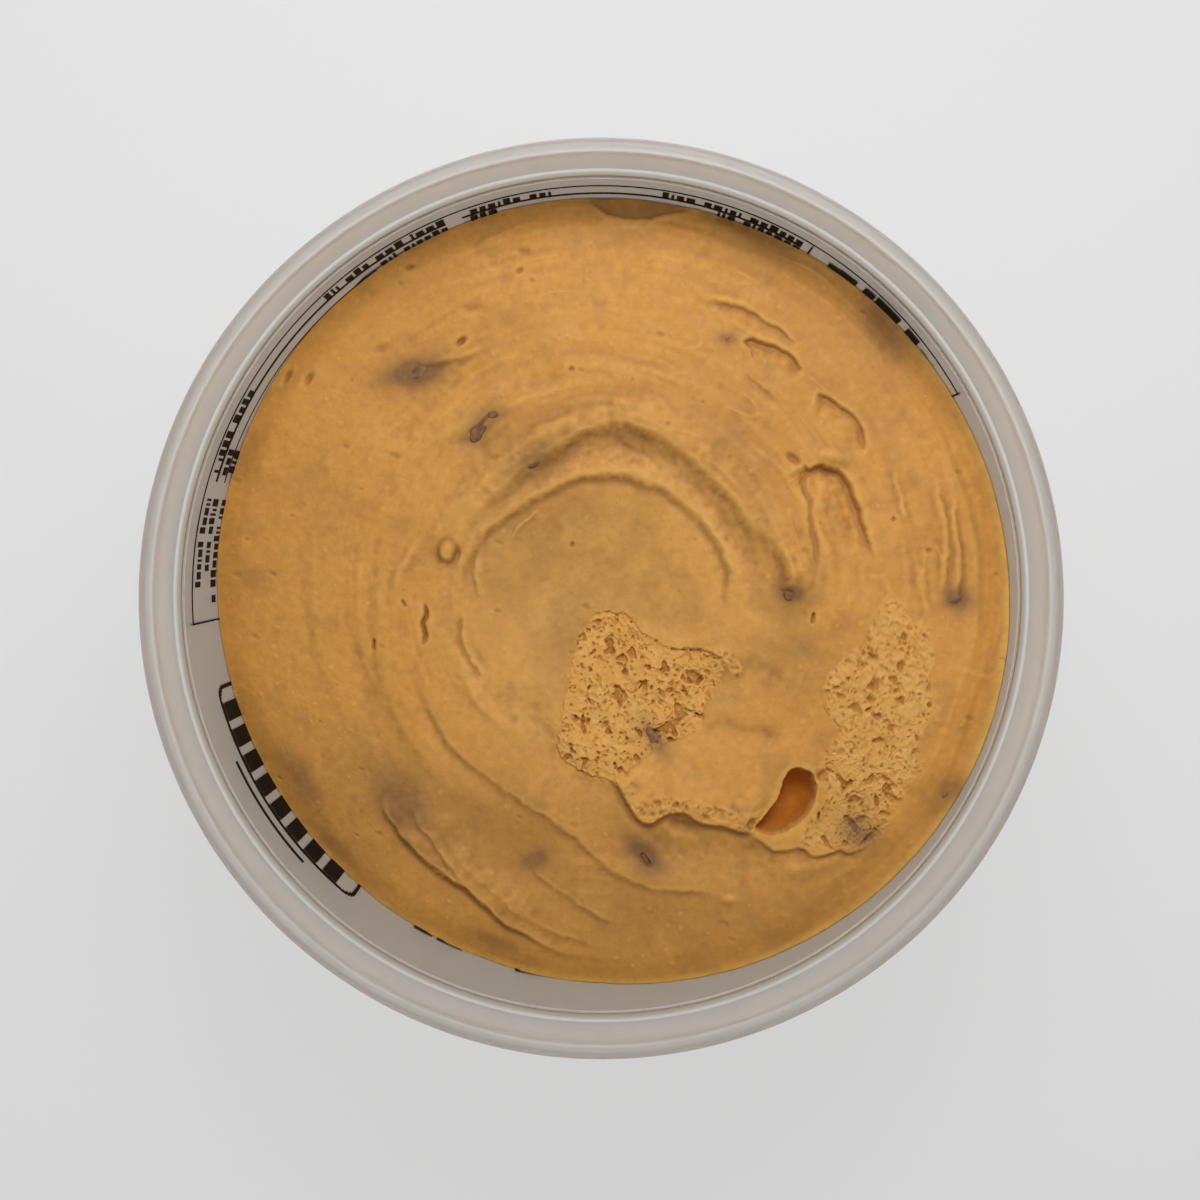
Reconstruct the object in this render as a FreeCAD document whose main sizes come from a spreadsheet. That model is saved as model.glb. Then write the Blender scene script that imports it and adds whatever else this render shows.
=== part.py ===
"""A round plastic tub of cheese spread, open and partly used.

Two pieces: the moulded tub and the spread that fills it. Millimetres, +Z up.
The origin is the middle of the foot's plane, so the tub stands on z = 0.
Seen from above with +Y away from the viewer, the spread stands high on the right (+X)
and low on the left, with a swirl round a shallow dish, torn faces and one deep hole.
"""
import FreeCAD, Part

import math
import os

import Sketcher

V = FreeCAD.Vector

doc = FreeCAD.newDocument("spread_tub")


# ---------------------------------------------------------------- driving dimensions
SIZES = [
    # the tub
    ("rim_diameter", 117.0, "outside of the lip"),
    ("tub_height", 72.0, "foot to the top of the lip"),
    ("wall", 0.6, "wall of the collar and body"),
    ("lip_width", 2.2, "inner edge of the lip to its outside"),
    ("lip_wall", 0.9, "thickness of the lip's flat top"),
    ("lip_round", 0.55, "rounding of the lip's edges"),
    ("skirt_depth", 4.6, "how far the skirt hangs below the lip's top"),
    ("skirt_wall", 0.7, "wall of the skirt"),
    ("collar_depth", 9.4, "lip's top to the stacking shoulder"),
    ("shoulder_step", 1.0, "how far the shoulder steps in"),
    ("shoulder_drop", 0.9, "height of the shoulder's slope"),
    ("base_diameter", 95.0, "outside of the foot"),
    ("base_wall", 0.9, "thickness of the base"),
    ("foot_height", 1.6, "how far the base panel is raised above the foot"),
    ("foot_width", 4.2, "radial width of the foot ring"),
    ("foot_slope", 1.0, "run of the slope from the foot to the raised panel"),
    ("heel_round", 2.0, "outer rounding between wall and foot"),
    ("gate_diameter", 7.0, "dimple round the moulding gate"),
    ("gate_depth", 0.3, "depth of that dimple"),
    # the spread's upper surface
    ("fill_drop", 17.1, "lip's top to the mean level of the spread's edge"),
    ("edge_tilt", 4.5, "rise of the edge on the high side, over the mean"),
    ("edge_tilt_turn", 5.0, "direction of the high side"),
    ("edge_twist", 1.8, "second wave of the edge"),
    ("edge_twist_turn", -38.0, "direction of that wave's crest"),
    ("dish_depth", 4.0, "depth of the dish in the middle"),
    ("dish_radius", 30.0, "radius at which the dish runs out"),
    ("wall_fall", 0.9, "how far the surface rolls down at the wall"),
    ("wall_fall_width", 5.0, "width of that roll"),
    ("swirl_scale", 1.0, "factor on the depth of every knife mark"),
    ("marks_back", 1.0, "how far back from the axis the marks, tears and hole are laid out"),
    # cuts in the spread
    ("tear_depth", 1.0, "mean depth of the torn faces"),
    ("scoop_depth", 0.9, "mean depth of the lifted scoop"),
    ("slot_depth", 0.45, "mean depth of the narrow slots"),
    ("hole_length", 11.0, "long axis of the deep hole's mouth"),
    ("hole_width", 4.8, "short axis of the deep hole's mouth"),
    ("hole_depth", 7.0, "depth of the hole"),
    ("hole_x", 25.4, "middle of the hole"),
    ("hole_y", -28.3, "middle of the hole"),
    ("hole_turn", 55.0, "direction of the hole's long axis"),
]

sheet = doc.addObject("Spreadsheet::Sheet", "sizes")
for row, (alias, number, note) in enumerate(SIZES, start=1):
    sheet.set("A%d" % row, alias)
    sheet.set("B%d" % row, str(number))
    sheet.set("C%d" % row, note)
    sheet.setAlias("B%d" % row, alias)
doc.recompute()


class Size:
    """A length with its number and the sheet formula that gives it."""

    def __init__(self, number, formula):
        self.number = number
        self.formula = formula

    def _join(self, other, sign, number):
        text = other.formula if isinstance(other, Size) else repr(float(other))
        return Size(number, "(%s %s %s)" % (self.formula, sign, text))

    def __add__(self, other):
        return self._join(other, "+", self.number + _number(other))

    def __sub__(self, other):
        return self._join(other, "-", self.number - _number(other))

    def __mul__(self, other):
        return self._join(other, "*", self.number * _number(other))

    def __truediv__(self, other):
        return self._join(other, "/", self.number / _number(other))


def _number(value):
    return value.number if isinstance(value, Size) else float(value)


def cell(alias):
    """The sheet's cell of that name, as a Size."""
    return Size(float(sheet.get(alias)), "sizes." + alias)


# ---------------------------------------------------------------- the tub's radii and heights
wall = cell("wall")
top = cell("tub_height")
rim_r = cell("rim_diameter") / 2
collar_in = rim_r - cell("lip_width")
collar_out = collar_in + wall
skirt_in = rim_r - cell("skirt_wall")
skirt_foot = top - cell("skirt_depth")
lip_under = top - cell("lip_wall")
collar_foot = top - cell("collar_depth")
shoulder_foot = collar_foot - cell("shoulder_drop")
outer_lag = wall / 2  # the outer bends of the shoulder sit this much below the inner ones
body_in = collar_in - cell("shoulder_step")
body_out = body_in + wall
base_out = cell("base_diameter") / 2
base_in = base_out - wall
foot_in = base_out - cell("foot_width")
panel_r = foot_in - cell("foot_slope")
panel_under = cell("foot_height")
floor_low = cell("base_wall")
floor_high = panel_under + cell("base_wall")
zero = Size(0.0, "0")


def draw_profile(body, name, corners):
    """A closed sketch on the body's XZ plane. Each corner is fixed to its two sheet formulas."""
    plane = [f for f in body.Origin.OriginFeatures if f.Role == "XZ_Plane"][0]
    sketch = body.newObject("Sketcher::SketchObject", name)
    sketch.AttachmentSupport = [(plane, "")]
    sketch.MapMode = "FlatFace"
    count = len(corners)
    points = [V(r.number, z.number, 0) for r, z in corners]
    for i in range(count):
        sketch.addGeometry(Part.LineSegment(points[i], points[(i + 1) % count]))
    for i in range(count):
        sketch.addConstraint(Sketcher.Constraint("Coincident", i, 2, (i + 1) % count, 1))
    for i, (r, z) in enumerate(corners):
        for kind, size in (("DistanceX", r), ("DistanceY", z)):
            where = sketch.addConstraint(Sketcher.Constraint(kind, -1, 1, i, 1, size.number))
            sketch.setExpression("Constraints[%d]" % where, size.formula)
    return sketch


def revolve(body, name, sketch, kind="PartDesign::Revolution"):
    turned = body.newObject(kind, name)
    turned.Profile = sketch
    turned.ReferenceAxis = (sketch, ["V_Axis"])
    turned.Angle = 360
    return turned


def ring_edges(shape, rings):
    """Names of the circular edges at these (radius, height) places."""
    names = []
    for i, edge in enumerate(shape.Edges, start=1):
        curve = edge.Curve
        if not isinstance(curve, Part.Circle):
            continue
        for radius, height in rings:
            near_r = abs(curve.Radius - radius.number) < 1e-4
            near_z = abs(curve.Center.z - height.number) < 1e-4
            if near_r and near_z:
                names.append("Edge%d" % i)
    return names


def fillet(body, name, base, rings, radius):
    """Rounds the rings of the base feature with one radius, a Size."""
    doc.recompute()
    rounded = body.newObject("PartDesign::Fillet", name)
    rounded.Base = (base, ring_edges(base.Shape, rings))
    rounded.Radius = radius.number
    rounded.setExpression("Radius", radius.formula)
    return rounded


def make_tub():
    """The tub: tapered body, stacking shoulder, upright collar and a lip with a hanging skirt."""
    body = doc.addObject("PartDesign::Body", "tub")
    outline = [
        (zero, panel_under),
        (panel_r, panel_under),
        (foot_in, zero),
        (base_out, zero),
        (body_out, shoulder_foot - outer_lag),
        (collar_out, collar_foot - outer_lag),
        (collar_out, lip_under),
        (skirt_in, lip_under),
        (skirt_in, skirt_foot),
        (rim_r, skirt_foot),
        (rim_r, top),
        (collar_in, top),
        (collar_in, collar_foot),
        (body_in, shoulder_foot),
        (base_in, floor_low),
        (foot_in + wall, floor_low),
        (panel_r + wall, floor_high),
        (zero, floor_high),
    ]
    sketch = draw_profile(body, "tub_outline", outline)
    shell = revolve(body, "tub_shell", sketch)
    lip = fillet(body, "lip_edges", shell, [(rim_r, top), (collar_in, top)], cell("lip_round"))
    heel = fillet(body, "heel", lip, [(base_out, zero)], cell("heel_round"))
    bend = fillet(body, "inner_heel", heel, [(base_in, floor_low)], cell("heel_round") - wall)
    gate = cell("gate_diameter") / 2
    dimple = draw_profile(
        body,
        "gate_outline",
        [
            (zero, panel_under),
            (gate, panel_under),
            (gate - cell("gate_depth"), panel_under + cell("gate_depth")),
            (zero, panel_under + cell("gate_depth")),
        ],
    )
    revolve(body, "gate_dimple", dimple, "PartDesign::Groove")
    return body


tub = make_tub()
doc.recompute()


# ---------------------------------------------------------------- the spread's upper surface
def size(alias):
    return cell(alias).number


def smooth_step(t):
    t = min(max(t, 0.0), 1.0)
    return t * t * (3 - 2 * t)


class Stroke:
    """A mark of the knife along an arc: a ridge if its rise is above zero, else a furrow.

    The arc turns anticlockwise round its centre from start to end, in degrees, and its
    radius grows by drift over that turn. Its cross-section falls away over the width
    inside on the centre's side and over the width outside on the other. The rise fades
    in and out over FADE degrees at the two ends.
    """

    FADE = 26.0

    def __init__(self, centre, radius, start, end, rise, inside, outside, drift=0.0):
        self.centre = centre
        self.radius = radius
        self.start = start
        self.turn = end - start
        self.rise = rise
        self.inside = inside
        self.outside = outside
        self.drift = drift

    def height(self, x, y):
        dx, dy = x - self.centre[0], y - self.centre[1]
        angle = (math.degrees(math.atan2(dy, dx)) - self.start) % 360.0
        if angle > self.turn + (360.0 - self.turn) / 2:
            angle -= 360.0
        fade = smooth_step(angle / self.FADE) * smooth_step((self.turn - angle) / self.FADE)
        if fade == 0.0:
            return 0.0
        off = math.hypot(dx, dy) - self.radius - self.drift * angle / self.turn
        width = self.outside if off > 0 else self.inside
        return self.rise * fade * math.exp(-((off / width) ** 2))


SWIRL = [
    # the rings round the dish, from the outer one inwards
    Stroke((1.0, -1.0), 24.2, -15, 175, 1.3, inside=1.9, outside=3.6, drift=-0.4),
    Stroke((1.0, -1.0), 21.4, 5, 165, -0.5, inside=1.5, outside=1.7),
    Stroke((-0.4, -1.2), 18.5, -20, 185, 0.85, inside=1.6, outside=2.2, drift=0.6),
    # where the swirl runs out on the low side
    Stroke((2.0, -3.0), 22.2, 165, 255, 0.8, inside=1.8, outside=1.9),
    Stroke((0.0, -4.0), 27.3, 165, 250, -0.7, inside=3.0, outside=1.7),
    Stroke((2.0, -8.0), 35.2, 160, 225, -0.6, inside=2.8, outside=1.6),
    Stroke((11.0, -14.0), 26.6, 200, 300, 0.8, inside=2.4, outside=1.5, drift=1.4),
    # the fold that overlaps the roll against the wall
    Stroke((2.0, -10.0), 38.2, 195, 275, 1.1, inside=4.6, outside=1.4, drift=2.6),
    Stroke((2.0, -10.0), 41.6, 200, 280, -0.5, inside=1.5, outside=2.2, drift=2.4),
    # two dents of the knife's tip between the torn faces
    Stroke((19.5, -16.5), 6.0, 10, 180, -0.8, inside=3.2, outside=1.4),
    Stroke((13.5, -31.5), 12.6, 30, 160, -0.9, inside=4.4, outside=1.5),
    # the hollow under the torn edge, and beside the middle tear
    Stroke((13.0, -18.0), 17.6, 225, 320, -1.3, inside=1.9, outside=3.8),
    Stroke((4.0, -14.0), 12.6, 165, 262, -0.8, inside=1.6, outside=3.2),
    # shallow diagonal marks on the far left
    Stroke((-38.0, 42.0), 24.0, -80, -20, -0.6, inside=2.4, outside=2.4),
    Stroke((-9.0, 36.0), 8.0, 205, 320, -0.45, inside=2.4, outside=2.4),
]

# faint marks left each time the knife went round the wall
for lap in range(5):
    SWIRL.append(Stroke((1.5, 0.0), 30.5 + 4.1 * lap, -30 + 9 * lap, 115 + 13 * (lap % 3), 0.3,
                        inside=1.5, outside=2.1))

LAYOUT_RADIUS = 55.3  # the marks, tears and hole are laid out for this radius, and follow the spread's
spread_r = body_in.number
layout = spread_r / LAYOUT_RADIUS
marks_back = size("marks_back")


def surface(x, y):
    """Height of the spread over the point (x, y)."""
    r = math.hypot(x, y)
    turn = math.degrees(math.atan2(y, x))
    share = r / spread_r
    level = size("tub_height") - size("fill_drop")
    tilt = size("edge_tilt") * share * math.cos(math.radians(turn - size("edge_tilt_turn")))
    twist_turn = 2 * (turn - size("edge_twist_turn"))
    twist = size("edge_twist") * share**2 * math.cos(math.radians(twist_turn))
    dish = size("dish_depth") * (1 - smooth_step(r / size("dish_radius")))
    roll = size("wall_fall") * (1 - smooth_step((spread_r - r) / size("wall_fall_width")))
    marks = sum(stroke.height(x / layout, y / layout - marks_back) for stroke in SWIRL)
    relief = size("swirl_scale") * marks
    return level + tilt + twist - dish - roll + relief


GRID_STEP = 1.5
COVER_HEIGHT = 30.0


def make_cover():
    """The space above the spread: the surface, raised as one solid that cuts the fill."""
    half = spread_r + 3 * GRID_STEP
    count = int(2 * half / GRID_STEP) + 1
    places = [-half + 2 * half * i / (count - 1) for i in range(count)]
    rows = [[V(x, y, surface(x, y)) for y in places] for x in places]
    skin = Part.BSplineSurface()
    skin.interpolate(rows)
    cover = doc.addObject("Part::Feature", "cover")
    cover.Shape = skin.toShape().extrude(V(0, 0, COVER_HEIGHT))
    return cover


def closed_prism(name, corners):
    """A tall upright solid whose outline is a smooth closed curve through the corners."""
    curve = Part.BSplineCurve()
    curve.interpolate(Points=corners, PeriodicFlag=True)
    face = Part.Face(Part.Wire([curve.toShape()]))
    prism = doc.addObject("Part::Feature", name)
    prism.Shape = face.extrude(V(0, 0, size("tub_height")))
    return prism


def cut(name, base, tool):
    made = doc.addObject("Part::Cut", name)
    made.Base = base
    made.Tool = tool
    return made


def common(name, first, second):
    made = doc.addObject("Part::Common", name)
    made.Base = first
    made.Tool = second
    return made


class Tear:
    """A torn face: inside the outline the surface is sunk, with an upright edge round it.

    depth names the sheet's cell. The floor also leans by lean degrees, down towards
    the direction lean_turn, so that it is deepest on that side and runs out on the other.
    """

    def __init__(self, name, corners, depth, lean=0.0, lean_turn=0.0):
        self.name = name
        self.corners = corners
        self.depth = depth
        self.lean = lean
        self.lean_turn = lean_turn

    def cut_from(self, base, cover):
        corners = [V(x * layout, (y + marks_back) * layout, 0) for x, y in self.corners]
        middle = sum(corners, V()) / len(corners)
        middle.z = surface(middle.x, middle.y)
        across = math.radians(self.lean_turn + 90)
        lean = FreeCAD.Rotation(V(math.cos(across), math.sin(across), 0), self.lean)
        floor = doc.addObject("Part::Feature", self.name + "_floor")
        floor.Shape = cover.Shape.copy()
        floor.Placement = FreeCAD.Placement(V(0, 0, -size(self.depth)), lean, middle)
        outline = closed_prism(self.name + "_outline", corners)
        return cut(self.name, base, common(self.name + "_bite", floor, outline))


TEARS = [
    Tear("middle_tear", [(-2.5, -3.5), (2, -3.2), (6.5, -5.5), (10.5, -7.7), (15, -7.6), (16, -11),
                         (13.6, -17), (9, -21), (3.8, -24.4), (1.2, -26.6), (-5, -24),
                         (-6.2, -20.5), (-5, -12)],
         "tear_depth", lean=4.0, lean_turn=55),
    Tear("right_tear", [(40, -1), (44, -4), (44.6, -9), (44.8, -15), (42, -19.5), (42.6, -24),
                        (38.6, -29), (35, -33), (28.5, -34.6), (29.5, -27), (31.5, -21),
                        (34, -16), (32, -11.5), (36, -6)],
         "tear_depth", lean=1.5, lean_turn=20),
    Tear("lifted_scoop", [(27, 17), (30.6, 16.8), (33.2, 15.6), (34.9, 11.6), (36.6, 6), (34, 1),
                          (30.4, 4), (28.6, 11)],
         "scoop_depth", lean=5.0, lean_turn=75),
    Tear("outer_slot", [(14.8, 38.4), (19.4, 37.6), (24, 35.1), (26.2, 32.9), (22, 34.6), (17.5, 36.8)],
         "slot_depth", lean=9.0, lean_turn=62),
    Tear("middle_slot", [(19.4, 33.3), (23.4, 32.7), (27, 29.8), (25.4, 29.9), (22.6, 31), (20, 32.3)],
         "slot_depth", lean=14.0, lean_turn=62),
    Tear("inner_slot", [(29.2, 26.3), (33.2, 24.2), (35.2, 19.4), (33.8, 20.4), (31.6, 22.9)],
         "slot_depth", lean=12.0, lean_turn=35),
]


def make_fill():
    """All the room inside the tub up to the shoulder, found by cutting the tub from a cone."""
    cone = doc.addObject("Part::Cone", "fill_envelope")
    middle = wall / 2
    cone.setExpression("Radius1", (base_out - middle).formula)
    cone.setExpression("Radius2", (body_out - middle).formula)
    cone.setExpression("Height", (shoulder_foot - outer_lag).formula)
    return cut("fill_room", cone, tub)


def make_hole():
    """The deep hole: an egg-shaped pocket whose mouth is a slanted oval."""
    egg = doc.addObject("Part::Ellipsoid", "hole_pocket")
    egg.setExpression("Radius1", "sizes.hole_depth")
    egg.setExpression("Radius2", "sizes.hole_length / 2")
    egg.setExpression("Radius3", "sizes.hole_width / 2")
    mouth = V(size("hole_x") * layout, (size("hole_y") + marks_back) * layout, 0)
    mouth.z = surface(mouth.x, mouth.y)
    egg.Placement = FreeCAD.Placement(mouth, FreeCAD.Rotation(V(0, 0, 1), size("hole_turn")))
    return egg


def make_spread():
    """The spread: the tub's room below the swirled surface, with its tears and its hole."""
    cover = make_cover()
    body = cut("levelled", make_fill(), cover)
    for tear in TEARS:
        body = tear.cut_from(body, cover)
    return cut("holed", body, make_hole())


holed = make_spread()
doc.recompute()

# the cone also reaches past the rounded heel and under the raised base: only the room inside counts
spread = doc.addObject("Part::Feature", "spread")
spread.Shape = max(holed.Shape.Solids, key=lambda solid: solid.Volume)

tub.Label = "tub"
spread.Label = "spread"
doc.recompute()


# ---------------------------------------------------------------- checks and export
for item in doc.Objects:
    for trouble in ("Invalid", "Error"):
        if trouble in item.State:
            raise RuntimeError("%s failed: %s" % (item.Name, item.State))

os.makedirs("parts", exist_ok=True)
for piece in (tub, spread):
    if piece.Shape.isNull() or not piece.Shape.isValid():
        raise RuntimeError("%s has no valid shape" % piece.Label)
    piece.Shape.exportStep("parts/%s.step" % piece.Label)
    print("%s: %.1f ml, %d solid(s)" % (piece.Label, piece.Shape.Volume / 1000, len(piece.Shape.Solids)))
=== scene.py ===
# %% [markdown]
# # A tub of cheese spread, open and partly eaten
#
# The real thing is a thin moulded tub of milky polypropylene, filled with a soft orange
# spread that has been swirled with a knife and torn in two places. The lesson builds it
# from five kinds of piece: the spread, the crumbly torn faces, the bits of meat, the tub
# and its black print. The solid model is the frame: it gives the sizes, and each new piece
# stands for one of its solids or rides on it.

import bpy
import numpy as np
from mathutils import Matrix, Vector


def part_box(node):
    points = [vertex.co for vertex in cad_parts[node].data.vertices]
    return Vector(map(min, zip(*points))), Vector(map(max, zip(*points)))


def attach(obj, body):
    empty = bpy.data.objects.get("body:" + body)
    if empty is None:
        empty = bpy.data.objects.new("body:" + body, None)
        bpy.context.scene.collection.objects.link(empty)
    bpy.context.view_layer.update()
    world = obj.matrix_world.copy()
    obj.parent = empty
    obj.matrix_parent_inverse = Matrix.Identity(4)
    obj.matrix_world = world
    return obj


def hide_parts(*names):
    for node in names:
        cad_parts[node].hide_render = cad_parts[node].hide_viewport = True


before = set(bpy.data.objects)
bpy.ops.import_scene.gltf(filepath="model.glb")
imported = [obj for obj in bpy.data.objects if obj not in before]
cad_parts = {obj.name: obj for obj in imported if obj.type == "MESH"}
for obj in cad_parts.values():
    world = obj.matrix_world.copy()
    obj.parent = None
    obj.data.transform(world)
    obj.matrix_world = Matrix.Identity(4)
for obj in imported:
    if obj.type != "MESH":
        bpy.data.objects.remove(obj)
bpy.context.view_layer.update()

MM = 0.001

tub_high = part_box("tub")[1]
RIM_R = tub_high[0] / MM
TOP = tub_high[2] / MM
print("tub: %.1f mm across, %.1f mm tall" % (2 * RIM_R, TOP))

# %% [markdown]
# ## The room inside the tub
#
# Everything leans on the tub's own sizes, in millimetres. The wall is a straight taper
# between the foot and the shoulder, so its radius at any height is one line of arithmetic.

# %% Sizes of the tub
WALL = 0.6
LIP_WIDTH = 2.2
LIP_WALL = 0.9
SKIRT_DEPTH = 4.6
SKIRT_WALL = 0.7
COLLAR_DEPTH = 9.4
SHOULDER_STEP = 1.0
SHOULDER_DROP = 0.9
FOOT_R = 47.5
BASE_WALL = 0.9
FOOT_HEIGHT = 1.6
FOOT_WIDTH = 4.2
FOOT_SLOPE = 1.0

COLLAR_R = RIM_R - LIP_WIDTH
BODY_R = COLLAR_R - SHOULDER_STEP
SHOULDER_Z = TOP - COLLAR_DEPTH
BODY_TOP_Z = SHOULDER_Z - SHOULDER_DROP
EDGE_R = BODY_R - 1.0  # about where the spread meets the wall


def inner_radius(z):
    """Inside of the body's wall: a straight line from the foot to the shoulder."""
    share = (z - BASE_WALL) / (BODY_TOP_Z - BASE_WALL)
    return (FOOT_R - WALL) + share * (BODY_R - FOOT_R + WALL)


print("inside radius at mid height: %.2f mm" % inner_radius(TOP / 2))

# %% [markdown]
# ## Tools for soft shapes
#
# A soft surface is a sum of simple heights over the plan: slow tilts, knife marks, dents
# and noise. Each is a formula on whole arrays. `smooth_step` eases from 0 to 1. `noise`
# gives every corner of a square lattice a height and blends between them, and `cloud`
# adds finer and finer copies. Adding heights is simpler than sculpting and can be changed
# later by one number, which is why it was chosen.

# %% Easing and noise
def smooth_step(t):
    """3t^2 - 2t^3, with t held between 0 and 1."""
    t = np.clip(t, 0.0, 1.0)
    return t * t * (3.0 - 2.0 * t)


def lattice(i, j, seed):
    """A fixed number from 0 to 1 for each lattice corner: the fraction of a large sine."""
    wave = np.sin(i * 127.1 + j * 311.7 + seed * 74.7) * 43758.5453
    return wave - np.floor(wave)


def noise(u, v, seed=0, turn_cells=None):
    """From -1 to 1: the four corners' numbers, blended with eased weights.

    With turn_cells, u repeats after that many cells, so that it closes round a circle.
    """
    i, j = np.floor(u), np.floor(v)
    fu, fv = smooth_step(u - i), smooth_step(v - j)
    after = i + 1
    if turn_cells:
        i, after = i % turn_cells, after % turn_cells
    low = lattice(i, j, seed) * (1 - fu) + lattice(after, j, seed) * fu
    high = lattice(i, j + 1, seed) * (1 - fu) + lattice(after, j + 1, seed) * fu
    return 2.0 * (low * (1 - fv) + high * fv) - 1.0


def cloud(x, y, size, seed=0, octaves=3):
    """Noise of that size, plus copies half as large and 0.55 as strong, scaled to -1..1."""
    total, weight = np.zeros_like(x), 0.0
    for octave in range(octaves):
        strength = 0.55**octave
        scale = size * 0.5**octave
        total += strength * noise(x / scale, y / scale, seed + 7 * octave)
        weight += strength
    return total / weight


# every mark, bit and tear is laid out round a middle that lies this far behind the axis
MARKS_BACK = 1.0


def bump(x, y, at, size, stretch=1.0, turn=0.0):
    """exp(-d^2) round a place: an oval hill, size across its radius, longer by stretch."""
    angle = np.radians(turn)
    dx, dy = x - at[0], y - at[1] - MARKS_BACK
    along = (dx * np.cos(angle) + dy * np.sin(angle)) / (size * stretch)
    across = (dy * np.cos(angle) - dx * np.sin(angle)) / size
    return np.exp(-(along**2 + across**2))


# %% [markdown]
# ## The level of the spread
#
# Someone has eaten more from one side: the surface stands high on the right and low on
# the left. Two cosine waves round the tub give that edge, a broad dish hollows the middle,
# and close to the wall the surface rolls down a little.

# %% The broad form of the surface
FILL_DROP = 17.1
EDGE_TILT = 4.5
EDGE_TILT_TURN = 5.0
EDGE_TWIST = 1.8
EDGE_TWIST_TURN = -38.0
DISH_DEPTH = 4.0
DISH_R = 30.0
WALL_FALL = 0.9
WALL_FALL_WIDTH = 5.0


def broad_level(x, y):
    """Mean level + tilt * r cos(a) + twist * r^2 cos(2a) - dish - roll at the wall."""
    r = np.hypot(x, y)
    a = np.arctan2(y, x)
    share = r / BODY_R
    level = TOP - FILL_DROP + EDGE_TILT * share * np.cos(a - np.radians(EDGE_TILT_TURN))
    level += EDGE_TWIST * share**2 * np.cos(2 * (a - np.radians(EDGE_TWIST_TURN)))
    level -= DISH_DEPTH * (1 - smooth_step(r / DISH_R))
    level -= WALL_FALL * (1 - smooth_step((EDGE_R - r) / WALL_FALL_WIDTH))
    return level


# %% [markdown]
# ## Knife marks
#
# A knife leaves a ridge where it lets the spread go and a furrow where it digs in. Every
# mark here is a line with a rise and two widths, one on each side, so that it can be steep
# on one side and gentle on the other, like a real fold. Long sweeps of the swirl are arcs.
# Crooked marks follow a smooth curve through a few points.

# %% Marks along arcs and along free lines
def arc(centre, radius, start, end, drift=0.0, step=3.0):
    """Points on a circle whose radius grows by drift over the turn from start to end."""
    share = np.linspace(0.0, 1.0, int(abs(end - start) / step) + 2)
    angle = np.radians(start + (end - start) * share)
    r = radius + drift * share
    x, y = centre[0] + r * np.cos(angle), centre[1] + r * np.sin(angle)
    return np.stack([x, y + MARKS_BACK], axis=1)


def smooth_line(points, steps=7, closed=False):
    """A Catmull-Rom curve: through every point, with each tangent along its neighbours."""
    p = np.asarray(points, dtype=float) + (0.0, MARKS_BACK)
    if closed:
        p = np.vstack([p[-1:], p, p[:2]])
    else:
        p = np.vstack([2 * p[0] - p[1], p, 2 * p[-1] - p[-2]])
    t = np.linspace(0.0, 1.0, steps, endpoint=False)[:, None, None]
    a, b, c, d = p[:-3], p[1:-2], p[2:-1], p[3:]
    curve = 0.5 * (2 * b + (c - a) * t + (2 * a - 5 * b + 4 * c - d) * t**2
                   + (3 * b - a - 3 * c + d) * t**3)
    curve = curve.transpose(1, 0, 2).reshape(-1, 2)
    return curve if closed else np.vstack([curve, p[-2]])


def nearest_on_line(x, y, line, reach):
    """For the points within reach: which they are, their distance to the line, and how far
    along it they are. The distance is above zero on the left of travel."""
    low, high = line.min(axis=0) - reach, line.max(axis=0) + reach
    near = (x > low[0]) & (x < high[0]) & (y > low[1]) & (y < high[1])
    px, py = x[near], y[near]
    away = np.full(px.shape, np.inf)
    left = np.ones(px.shape)
    along = np.zeros(px.shape)
    length = np.hypot(*np.diff(line, axis=0).T)
    run = np.concatenate([[0.0], np.cumsum(length)])
    for start, end, size, before in zip(line[:-1], line[1:], length, run):
        ux, uy = (end - start) / size
        dx, dy = px - start[0], py - start[1]
        s = np.clip(dx * ux + dy * uy, 0.0, size)
        d = np.hypot(dx - s * ux, dy - s * uy)
        closer = d < away
        away[closer] = d[closer]
        left[closer] = np.sign(ux * dy - uy * dx)[closer]
        along[closer] = (before + s[closer]) / run[-1]
    return near, away * left, along


class Mark:
    """A knife mark: rise * exp(-(distance / width)^2), fading in and out at its ends."""

    def __init__(self, line, rise, left, right, fade_in=0.3, fade_out=0.3):
        self.line = line
        self.rise = rise
        self.left = left
        self.right = right
        self.fade_in = fade_in
        self.fade_out = fade_out

    def add_to(self, height, x, y):
        """Adds the mark to height, out to 2.6 widths, where it has all but faded."""
        near, off, along = nearest_on_line(x, y, self.line, 2.6 * max(self.left, self.right))
        width = np.where(off > 0, self.left, self.right)
        fade = smooth_step(along / self.fade_in) * smooth_step((1 - along) / self.fade_out)
        fade *= 1 + 0.5 * cloud(x[near], y[near], 4.5, 47)
        height[near] += self.rise * fade * np.exp(-((off / width) ** 2))


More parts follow.
